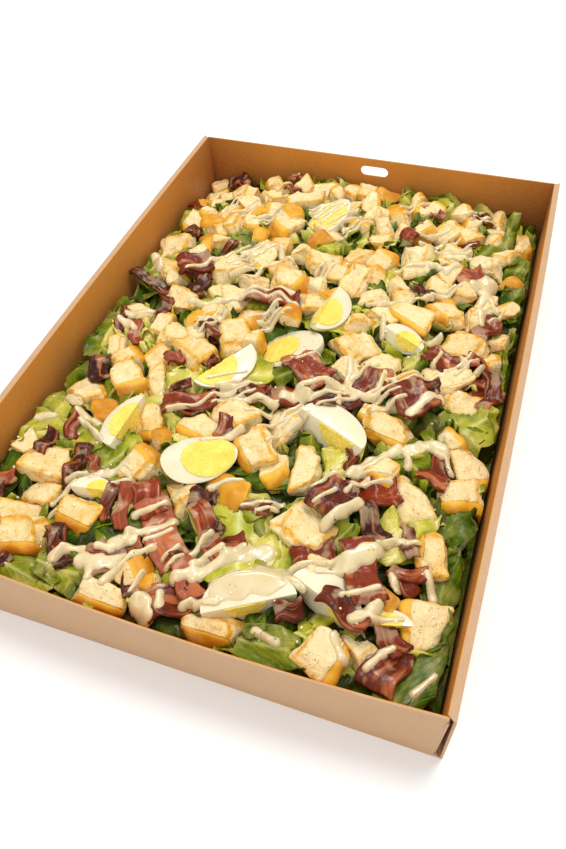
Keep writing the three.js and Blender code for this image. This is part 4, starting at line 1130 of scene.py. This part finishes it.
class SALAD_OT_eggs(bpy.types.Operator):
    """Cuts the boiled eggs into halves and wedges, with crumbly yolks"""

    bl_idname = "salad.eggs"
    bl_label = "Lay the eggs"

    yolk_proud = 0.5
    yolk_sunk = 0.9                 # where the dressing hides a yolk
    bevel_from, crease = 40, 50

    def white(self, bm, sector, size):
        """The white of one piece round the origin, its long axis along X and its blunt end at -X."""
        ball = bmesh.ops.create_uvsphere(bm, u_segments=EGG_ACROSS, v_segments=EGG_ALONG, radius=0.5)
        verts = ball["verts"]
        bmesh.ops.rotate(bm, matrix=Matrix.Rotation(math.pi / 2, 3, "Y"), verts=verts)
        for vert in verts:
            girth = EGG_WIDTH * (1 - EGG_BLUNT * 2 * vert.co.x) * size
            vert.co = (vert.co.x * EGG_LENGTH * size, vert.co.y * girth, vert.co.z * girth)
        return cut_ball(bm, verts, egg_cuts(sector), (0, 0))

    def yolk(self, bm, sector, shape, seed):
        """The yolk of one piece, a little proud of the cut faces and crumbly."""
        half_length, half_width, along, above = shape
        yolk_at = Vector((along, 0, 0))
        ball = bmesh.ops.create_icosphere(bm, subdivisions=YOLK_FINENESS, radius=half_width)
        verts = ball["verts"]
        for vert in verts:
            vert.co = Vector((vert.co.x * half_length / half_width, vert.co.y, vert.co.z)) + yolk_at
        prouds = (self.yolk_proud if above else -self.yolk_sunk, self.yolk_proud)
        cuts = egg_cuts(sector)
        verts = cut_ball(bm, verts, cuts, prouds)
        outward = cuts[-1] if sector < NARROW_WEDGE else cuts[0]
        for vert in verts:
            crumble = 0.45 * wobble(vert.co.x / 1.6, vert.co.y / 1.6, vert.co.z / 1.6 + seed)
            crumble += 0.4 * wobble(vert.co.x / 4, vert.co.y / 4, vert.co.z / 4 + seed)
            vert.co += (vert.co - yolk_at).normalized() * 0.3 * crumble + outward * crumble
        return verts

    def execute(self, context):
        settings = context.scene.salad_eggs
        nodes = node_names("egg")
        whites, yolks = bmesh.new(), bmesh.new()
        for index, (_, _, yaw, lean, towards, sector, size, yolk_shape) in enumerate(EGGS):
            turn = egg_frame(yaw, lean, towards)
            verts = self.white(whites, sector, size)
            bmesh.ops.transform(whites, matrix=turn, verts=verts)
            shift = centred(whites, verts, nodes[index])
            inner = self.yolk(yolks, sector, yolk_shape, index)
            place = Matrix.Translation(shift) @ turn
            bmesh.ops.transform(yolks, matrix=place, verts=inner)
        piece = finished(whites, "egg_whites", self.white_material(settings), nodes)
        rounded = piece.modifiers.new("edges", "BEVEL")
        rounded.width, rounded.segments = settings.edge, 2
        rounded.limit_method, rounded.angle_limit = "ANGLE", math.radians(self.bevel_from)
        material = self.yolk_material(settings)
        finished(yolks, "egg_yolks", material, nodes, self.crease)
        return {"FINISHED"}

    def white_material(self, settings):
        shader = Shader(
            "egg_white", specular_ior_level=0.5, subsurface_weight=0.35, subsurface_scale=0.004,
            subsurface_radius=(1.0, 0.9, 0.6), coat_roughness=0.12,
        )
        patch = shader.noise(14, 2)
        fine = shader.noise(1.2, 2)
        colour = shader.mix(patch.between(0.4, 0.75) * 0.5, tuple(settings.white), CREAMY_EGG)
        relief = shader.bump(fine * 0.3 + patch * 0.7, 0.3)
        return shader.set(
            base_color=colour, roughness=0.2 + patch * 0.16, coat_weight=0.3 + patch * 0.2,
            normal=relief,
        )

    def yolk_material(self, settings):
        shader = Shader("egg_yolk", specular_ior_level=0.3, subsurface_weight=0.15, subsurface_scale=0.002)
        patch = shader.noise(7, 3)
        crumble = shader.noise(1.5, 3)
        colour = shader.mix(patch.between(0.35, 0.7), tuple(settings.yolk), DEEP_YOLK)
        colour = shader.mix(crumble.between(0.5, 0.8) * 0.5, colour, PALE_YOLK)
        relief = shader.bump(crumble, 0.8)
        return shader.set(base_color=colour, roughness=0.55 + crumble * 0.25, normal=relief)


# ---- bacon ----------------------------------------------------------------------------------

SLICE_STEPS, BIT_STEPS, SCRAP_STEPS = (34, 18), (26, 10), (14, 6)       # of their grids
PINK_MEAT, BROWN_MEAT = linear(196, 118, 84), linear(170, 84, 50)
GOLD_FAT, BROWN_FAT = linear(206, 112, 52), linear(170, 84, 44)
CHARRED, CREAMY_BACON = linear(96, 40, 18), linear(226, 198, 154)


def slice_grid(bm, steps, rasher, seed):
    """A wavy slice of bacon round the origin, its grain along X, its ends and edges ragged."""
    length, width, wave, waves, tone = rasher
    verts = bmesh.ops.create_grid(bm, x_segments=steps[0], y_segments=steps[1], size=0.5)["verts"]
    layer = bm.verts.layers.float_vector.get("meat")
    for vert in verts:
        u, v = vert.co.x + 0.5, vert.co.y + 0.5
        vert[layer] = (seed + u * length / 30, v, tone)
        side, end = abs(2 * v - 1), abs(2 * u - 1)
        x = length * (u - 0.5) + 1.6 * end ** 2 * wobble(v * 3, seed, 2 * round(u))
        y = width * (v - 0.5) * (1 + 0.10 * wobble(u * length / 9, seed, 5)) + 1.5 * math.sin(u * 7)
        curl = 1.1 * side ** 2 * wobble(u * length / 8, v, seed)
        ripple = 0.5 * wobble(x / 3.5, y / 3.5, seed)
        z = wave * math.sin(2 * math.pi * waves * u) + 0.8 * math.sin(5 * v + 4 * u)
        vert.co = (x, y, z + curl + ripple)
    return verts


class SALAD_OT_bacon(bpy.types.Operator):
    """Lays the slices of streaky bacon and beds the smaller bits in the leaves"""

    bl_idname = "salad.bacon"
    bl_label = "Lay the bacon"

    bit_depth = 4                   # from the mound's height down to the middle of a bit
    heights_step = 2
    margin = 8                      # from the walls to the middle of a scrap

    def slices(self, bm, nodes):
        """Lays the broad slices, each in the middle of its solid's box."""
        for index, (_, _, yaw, *rasher) in enumerate(BACON):
            verts = slice_grid(bm, SLICE_STEPS, rasher, index * 2.3)
            bmesh.ops.transform(bm, matrix=turned(yaw), verts=verts)
            centred(bm, verts, nodes[index])

    def bits(self, bm, thickness):
        """Lays the narrow bits, some of them over an egg."""
        eggs = Heights(("egg_whites",), self.heights_step)
        for index, (x, y, yaw, *rasher) in enumerate(BACON_BITS):
            y += MIDDLE_Y
            verts = slice_grid(bm, BIT_STEPS, rasher, 50 + index * 1.7)
            top = max(topping_height(x, y) - self.bit_depth, eggs.at(x, y) + thickness)
            laid(bm, verts, turned(yaw), (x, y, top))

    def scraps(self, bm, settings):
        """Beds small scraps in the leaves, where nothing larger lies."""
        toppings = Heights(("croutons", "crouton_chunks", "egg_whites"), self.heights_step)
        draw = random.Random(settings.seed)
        placed = 0
        while placed < settings.scraps:
            x, y = spot_inside(draw, self.margin)
            if toppings.at(x, y):
                continue
            placed += 1
            size = (draw.uniform(12, 28), draw.uniform(6, 11))
            scrap = (*size, draw.uniform(0.8, 2), draw.choice((0.5, 1, 1.5)), draw.uniform(0.2, 0.9))
            verts = slice_grid(bm, SCRAP_STEPS, scrap, 90 + placed)
            tip = turned(draw.uniform(0, 360), draw.uniform(-40, 40), draw.uniform(-20, 20))
            laid(bm, verts, tip, (x, y, topping_height(x, y) - draw.uniform(3, 8)))

    def execute(self, context):
        settings = context.scene.salad_bacon
        thickness = settings.thickness / MM
        bm = fresh("meat")
        nodes = node_names("bacon")
        self.slices(bm, nodes)
        self.bits(bm, thickness)
        self.scraps(bm, settings)
        piece = finished(bm, "bacon", self.material(settings), [*nodes, "lettuce"])
        thickened(piece, thickness)
        return {"FINISHED"}

    def material(self, settings):
        shader = Shader(
            "cured_bacon", specular_ior_level=0.2, coat_roughness=0.12,
            subsurface_weight=0.08, subsurface_scale=0.002,
        )
        along, across, tone = shader.marks("meat")
        strip = {0: along * 1.2, 1: across * 2.6, 2: tone * 9.0}
        strip = shader.node("ShaderNodeCombineXYZ", {}, strip)
        coarse = {"Vector": strip, "Scale": 1.0, "Detail": 2.0, "Distortion": 0.4}
        streak = shader.node("ShaderNodeTexNoise", {}, coarse)
        strip = shader.node("ShaderNodeMapping", {}, {"Vector": strip, "Scale": (6.0, 9.0, 1.0)})
        fine = {"Vector": strip, "Scale": 1.0, "Detail": 3.0}
        fibre = shader.node("ShaderNodeTexNoise", {}, fine)
        patch = shader.noise(6, 2)
        rim = abs(across - 0.5) * 2.0
        fat = (streak + (fibre - 0.5) * 0.2 + (patch - 0.5) * 0.2).between(0.53, 0.65)
        cooked = (tone + (patch - 0.5) * 0.9).between(0.15, 0.85)
        meat = shader.mix(cooked, tuple(settings.lean), tuple(settings.dark))
        meat = shader.mix((1 - tone.between(0.0, 0.3)) * 0.6, meat, PINK_MEAT)
        meat = shader.mix((fibre - 0.4).clamped() * 0.5, meat, BROWN_MEAT)
        gold = shader.mix(patch.between(0.4, 0.65), tuple(settings.fat), GOLD_FAT)
        gold = shader.mix(tone * 0.5, gold, BROWN_FAT)
        colour = shader.mix(fat * 0.75, meat, gold)
        colour = shader.mix(rim.between(0.86, 1.0) * 0.55, colour, CHARRED)
        wet = shader.noise(13, 2, distortion=0.7).between(0.54, 0.62)
        colour = shader.mix(wet * 0.35, colour, CREAMY_BACON)
        relief = shader.bump(fibre * 0.5 + streak * 0.3 + patch * 0.4, 0.5)
        return shader.set(
            base_color=colour, roughness=0.3 + patch * 0.2, coat_weight=0.2 + fat * 0.3,
            normal=relief,
        )


# ---- dressing -------------------------------------------------------------------------------

LAID = (
    "romaine_bed", "romaine_leaves", "romaine_torn", "croutons", "crouton_chunks", "egg_whites",
    "egg_yolks", "bacon",
)
DRIZZLES = 22                   # sets of strands
DRIZZLE_X, DRIZZLE_FRONT, DRIZZLE_BACK = 125, -60, 195      # where they lie
DOME = 0.85                     # a stroke's height in the middle, as a share of its stated depth
PALE_CREAM, SPECK = linear(249, 231, 190), linear(60, 46, 34)


def drizzle(seed):
    """Sets of thin parallel strands over the toppings, to be added to the table's strokes."""
    draw = random.Random(seed)
    strands = []
    for _ in range(DRIZZLES):
        x, y = draw.uniform(-DRIZZLE_X, DRIZZLE_X), draw.uniform(DRIZZLE_FRONT, DRIZZLE_BACK)
        turn, gap = math.radians(draw.uniform(30, 65)), draw.uniform(5, 7)
        for place in range(draw.choice((2, 3, 4))):
            reach = Vector((math.cos(turn), math.sin(turn))) * draw.uniform(8, 16)
            middle = Vector((x + place * gap * math.sin(turn), y - place * gap * math.cos(turn)))
            bow = Vector((draw.uniform(-2, 2), draw.uniform(-2, 2)))
            places = [tuple(spot) for spot in (middle - reach, middle + bow, middle + reach)]
            strands.append((draw.uniform(2.8, 4.2), draw.uniform(1.2, 1.8), places))
    return strands


def stroke_field(xs, ys, strokes, seed, reach):
    """Depth of the dressing over a grid of places: domed along each stroke. Outside the strokes
    it is the distance to the nearest, counted below 0 and as far as `reach`."""
    field = np.full(xs.shape, -float(reach))
    draw = random.Random(seed)
    for width, depth, places in strokes:
        half = NARROWED * width / 2
        phase = draw.uniform(0, 9)
        for (ax, ay), (bx, by) in zip(places, places[1:]):
            ay, by = ay + MIDDLE_Y, by + MIDDLE_Y
            dx, dy = bx - ax, by - ay
            share = np.clip(((xs - ax) * dx + (ys - ay) * dy) / (dx * dx + dy * dy), 0, 1)
            away = np.hypot(xs - ax - share * dx, ys - ay - share * dy)
            swell = 1 + 0.16 * np.sin(share * 5 + phase)
            swell += 0.11 * np.sin(xs / 2.9 + phase) * np.cos(ys / 3.3)
            ratio = away / (half * swell)
            domed = DOME * depth * np.sqrt(np.clip(1 - ratio ** 2, 0, 1))
            field = np.maximum(field, np.where(ratio < 1, domed, half * swell - away))
    return field


def draped(ground, step, slope, times):
    """A cloth over the ground that nowhere falls more steeply than `slope`, and is smooth."""
    for _ in range(times):
        for axis in (0, 1):
            for way in (-1, 1):
                ground = np.maximum(ground, np.roll(ground, way, axis=axis) - slope * step)
    return blurred(ground, 5)


def blurred(grid, times):
    """A grid of heights with its small bumps spread out."""
    for _ in range(times):
        for axis in (0, 1):
            grid = (np.roll(grid, 1, axis=axis) + 2 * grid + np.roll(grid, -1, axis=axis)) / 4
    return grid


class SALAD_OT_dressing(bpy.types.Operator):
    """Drizzles the creamy dressing over everything in ribbons, pools and drips"""

    bl_idname = "salad.dressing"
    bl_label = "Pour the dressing"

    slope, reach = 0.95, 9          # of the cloth that it lies like
    skirt, thickness = 0.9, 0.9     # how far it spreads past a stroke, and how thick it is there
    rim_width = 0.9                 # in steps of the grid
    least_slant = 0.001

    def execute(self, context):
        settings = context.scene.salad_dressing
        step = settings.step / MM
        grid = Heights((), step)
        xs, ys = np.meshgrid(grid.across, grid.along)
        strokes = (*STROKES, *drizzle(settings.seed))
        field = stroke_field(xs, ys, strokes, settings.seed, self.reach)
        ground = Heights(LAID, step, field > -self.reach).top
        surface = draped(ground, step, self.slope, self.reach) + field
        bm = self.sheet(grid, step, field, surface)
        kept_inside(bm.verts)
        piece = finished(bm, "dressing", self.material(settings), ["lettuce"])
        thickened(piece, self.thickness).offset = -1
        return {"FINISHED"}

    def sheet(self, grid, step, field, surface):
        """The upper side of the dressing, which ends a little outside its strokes."""
        steepest = np.gradient(blurred(field, 1))
        slant = np.maximum(np.hypot(*steepest), self.least_slant)
        bm = fresh("pour")
        layer = bm.verts.layers.float_vector.get("pour")
        made = bmesh.ops.create_grid(bm, x_segments=grid.columns, y_segments=grid.rows, size=0.5)
        outside = []
        for vert in made["verts"]:
            i, j = round((vert.co.x + 0.5) * grid.columns), round((vert.co.y + 0.5) * grid.rows)
            vert.co = (grid.across[i], grid.along[j], surface[j, i])
            vert[layer] = (field[j, i], 0, 0)
            beyond = -self.skirt - field[j, i]
            if beyond > step * self.rim_width:
                outside.append(vert)
            elif beyond > 0:
                # The rim is drawn in to a smooth line round the stroke.
                inward = beyond / slant[j, i] / slant[j, i]
                vert.co.x += inward * steepest[1][j, i] * step
                vert.co.y += inward * steepest[0][j, i] * step
                vert.co.z += beyond
        bmesh.ops.delete(bm, geom=outside, context="VERTS")
        bmesh.ops.smooth_vert(
            bm, verts=bm.verts, factor=0.5, use_axis_x=True, use_axis_y=True, use_axis_z=True,
        )
        return bm

    def material(self, settings):
        shader = Shader(
            "creamy_dressing", specular_ior_level=0.5, coat_roughness=0.08,
            subsurface_weight=0.2, subsurface_scale=0.003, subsurface_radius=(1.0, 0.8, 0.5),
        )
        depth = shader.marks("pour")[0]
        patch = shader.noise(9, 2)
        specks = 1 - shader.dots(3.4).between(0.08, 0.13)
        specks = specks * shader.noise(6, 1).between(0.46, 0.5)
        colour = shader.mix(patch.between(0.35, 0.7) * 0.6, tuple(settings.cream), PALE_CREAM)
        colour = shader.mix(specks * 0.8, colour, SPECK)
        relief = shader.bump(patch, 0.4)
        return shader.set(
            base_color=colour, roughness=0.2 + patch * 0.12, coat_weight=0.7 + patch * 0.3,
            alpha=0.58 + depth.between(-0.5, 1.4) * 0.36, normal=relief,
        )


class SALAD_OT_crumbs(bpy.types.Operator):
    """Scatters the crumbs of toast that fell on the salad"""

    bl_idname = "salad.crumbs"
    bl_label = "Scatter the crumbs"

    count, seed = 140, 11
    smallest, largest = 0.3, 0.9    # radius
    margin = 4

    def execute(self, context):
        draw = random.Random(self.seed)
        trees = [tree_of(bpy.data.objects[name]) for name in LAID]
        down = Vector((0, 0, -1))
        bm = fresh("bread")
        layer = bm.verts.layers.float_vector.get("bread")
        for _ in range(self.count):
            x, y = spot_inside(draw, self.margin)
            over = Vector((x * MM, y * MM, 1))
            hits = [hit for hit in (tree.ray_cast(over, down)[0] for tree in trees) if hit]
            top = max(hit.z for hit in hits) / MM
            radius = draw.uniform(self.smallest, self.largest)
            verts = bmesh.ops.create_icosphere(bm, subdivisions=2, radius=radius)["verts"]
            seed, tone = draw.uniform(0, 99), draw.random()
            for vert in verts:
                vert[layer] = (0.3 * tone, 1, 1)
                vert.co *= 1 + 0.6 * wobble(*(vert.co / radius + Vector((seed, 0, 0))))
                vert.co += Vector((x, y, top + radius * 0.5))
        finished(bm, "crumbs", bpy.data.materials["toasted_bread"], ["lettuce"])
        return {"FINISHED"}


# ---- stage ----------------------------------------------------------------------------------

PALE_FLOOR = linear(246, 246, 248)


class SALAD_OT_stage(bpy.types.Operator):
    """Sets the pale floor, the soft studio light and the camera"""

    bl_idname = "salad.stage"
    bl_label = "Set the stage"

    camera_place = (133.78, -319.46, 389.04)
    azimuth, elevation, roll = 0.391, 0.888, -0.080
    focal_pixels = 707.1
    image = (566, 849)
    principal = (297.0, 420.1)
    sensor = 36
    mirrored = 0.35                 # share of the room's light that glossy surfaces mirror
    floor_half = 6
    lamps = (                       # name, size, place
        ("key", 0.8, (0.4, 0.5, 2.3)),
        ("fill", 1.2, (0.1, -1.5, 1.5)),
        ("shine", 0.6, (-0.55, 1.25, 1.7)),
    )
    lamp_aim = (0, 0, 0.03)

    def camera(self, context):
        data = bpy.data.cameras.new("camera")
        data.sensor_width = self.sensor
        data.lens = self.focal_pixels * self.sensor / max(self.image)
        data.shift_x = (self.image[0] / 2 - self.principal[0]) / max(self.image)
        data.shift_y = (self.principal[1] - self.image[1] / 2) / max(self.image)
        data.clip_start, data.clip_end = 0.01, 20
        azimuth, elevation, roll = self.azimuth, self.elevation, self.roll
        back = Vector((
            math.sin(azimuth) * math.cos(elevation), -math.cos(azimuth) * math.cos(elevation),
            math.sin(elevation),
        ))
        right = (-back).cross(Vector((0, 0, 1))).normalized()
        up = right.cross(-back)
        level = Matrix((right, up, back)).transposed()
        turn = level @ Matrix.Rotation(roll, 3, "Z")
        camera = bpy.data.objects.new("camera", data)
        camera.matrix_world = Matrix.Translation(Vector(self.camera_place) * MM) @ turn.to_4x4()
        context.scene.collection.objects.link(camera)
        context.scene.camera = camera

    def lamp(self, context, name, power, size, place):
        data = bpy.data.lights.new(name, "AREA")
        data.energy, data.shape, data.size = power, "DISK", size
        lamp = bpy.data.objects.new(name, data)
        lamp.location = place
        aim = Vector(self.lamp_aim) - Vector(place)
        lamp.rotation_euler = aim.to_track_quat("-Z", "Y").to_euler()
        context.scene.collection.objects.link(lamp)

    def floor(self, context, settings):
        bm = bmesh.new()
        bmesh.ops.create_grid(bm, x_segments=8, y_segments=8, size=self.floor_half)
        mesh = bpy.data.meshes.new("floor")
        bm.to_mesh(mesh)
        bm.free()
        shader = Shader("pale_floor", specular_ior_level=0.2)
        grain = shader.noise(40, 2)
        colour = shader.mix(grain * 0.1, tuple(settings.floor), PALE_FLOOR)
        mesh.materials.append(shader.set(base_color=colour, roughness=0.6 + grain * 0.1))
        floor = bpy.data.objects.new("floor", mesh)
        context.scene.collection.objects.link(floor)

    def room(self, context, settings):
        """Even light from all sides, dimmer where glossy surfaces mirror it."""
        world = bpy.data.worlds.new("studio")
        world.use_nodes = True
        world.node_tree.nodes["Background"].inputs["Color"].default_value = (1, 1, 1, 1)
        nodes, links = world.node_tree.nodes, world.node_tree.links
        path = nodes.new("ShaderNodeLightPath")
        light = nodes.new("ShaderNodeMapRange")
        light.inputs["To Min"].default_value = settings.sky
        light.inputs["To Max"].default_value = settings.sky * self.mirrored
        links.new(path.outputs["Is Glossy Ray"], light.inputs["Value"])
        links.new(light.outputs["Result"], nodes["Background"].inputs["Strength"])
        context.scene.world = world

    def execute(self, context):
        settings = context.scene.salad_stage
        self.floor(context, settings)
        self.room(context, settings)
        for name, size, place in self.lamps:
            self.lamp(context, name, getattr(settings, name), size, place)
        self.camera(context)
        context.scene.view_settings.view_transform = "Standard"
        return {"FINISHED"}


# ---- the panel and the run ------------------------------------------------------------------

GROUPS = {
    "salad_kraft": KraftSettings, "salad_lettuce": LettuceSettings,
    "salad_croutons": CroutonSettings, "salad_eggs": EggSettings, "salad_bacon": BaconSettings,
    "salad_dressing": DressingSettings, "salad_stage": StageSettings,
}
STEPS = (
    SALAD_OT_tray, SALAD_OT_bed, SALAD_OT_croutons, SALAD_OT_eggs, SALAD_OT_bacon,
    SALAD_OT_romaine, SALAD_OT_dressing, SALAD_OT_crumbs, SALAD_OT_stage,
)


class SALAD_PT_panel(bpy.types.Panel):
    """Lists the pieces of the salad and their settings"""

    bl_idname = "SALAD_PT_panel"
    bl_label = "Caesar Salad"
    bl_space_type = "VIEW_3D"
    bl_region_type = "UI"
    bl_category = "Salad"

    def draw(self, context):
        for step in STEPS:
            self.layout.operator(step.bl_idname)
        for key, group in GROUPS.items():
            box = self.layout.box()
            for name in group.__annotations__:
                box.prop(getattr(context.scene, key), name)


CLASSES = (*GROUPS.values(), *STEPS, SALAD_PT_panel)


def register():
    for item in CLASSES:
        bpy.utils.register_class(item)
    for key, group in GROUPS.items():
        setattr(bpy.types.Scene, key, bpy.props.PointerProperty(type=group))


def unregister():
    for key in GROUPS:
        delattr(bpy.types.Scene, key)
    for item in reversed(CLASSES):
        bpy.utils.unregister_class(item)


def main():
    register()
    for step in STEPS:
        group, name = step.bl_idname.split(".")
        getattr(getattr(bpy.ops, group), name)()


if __name__ == "__main__":
    main()
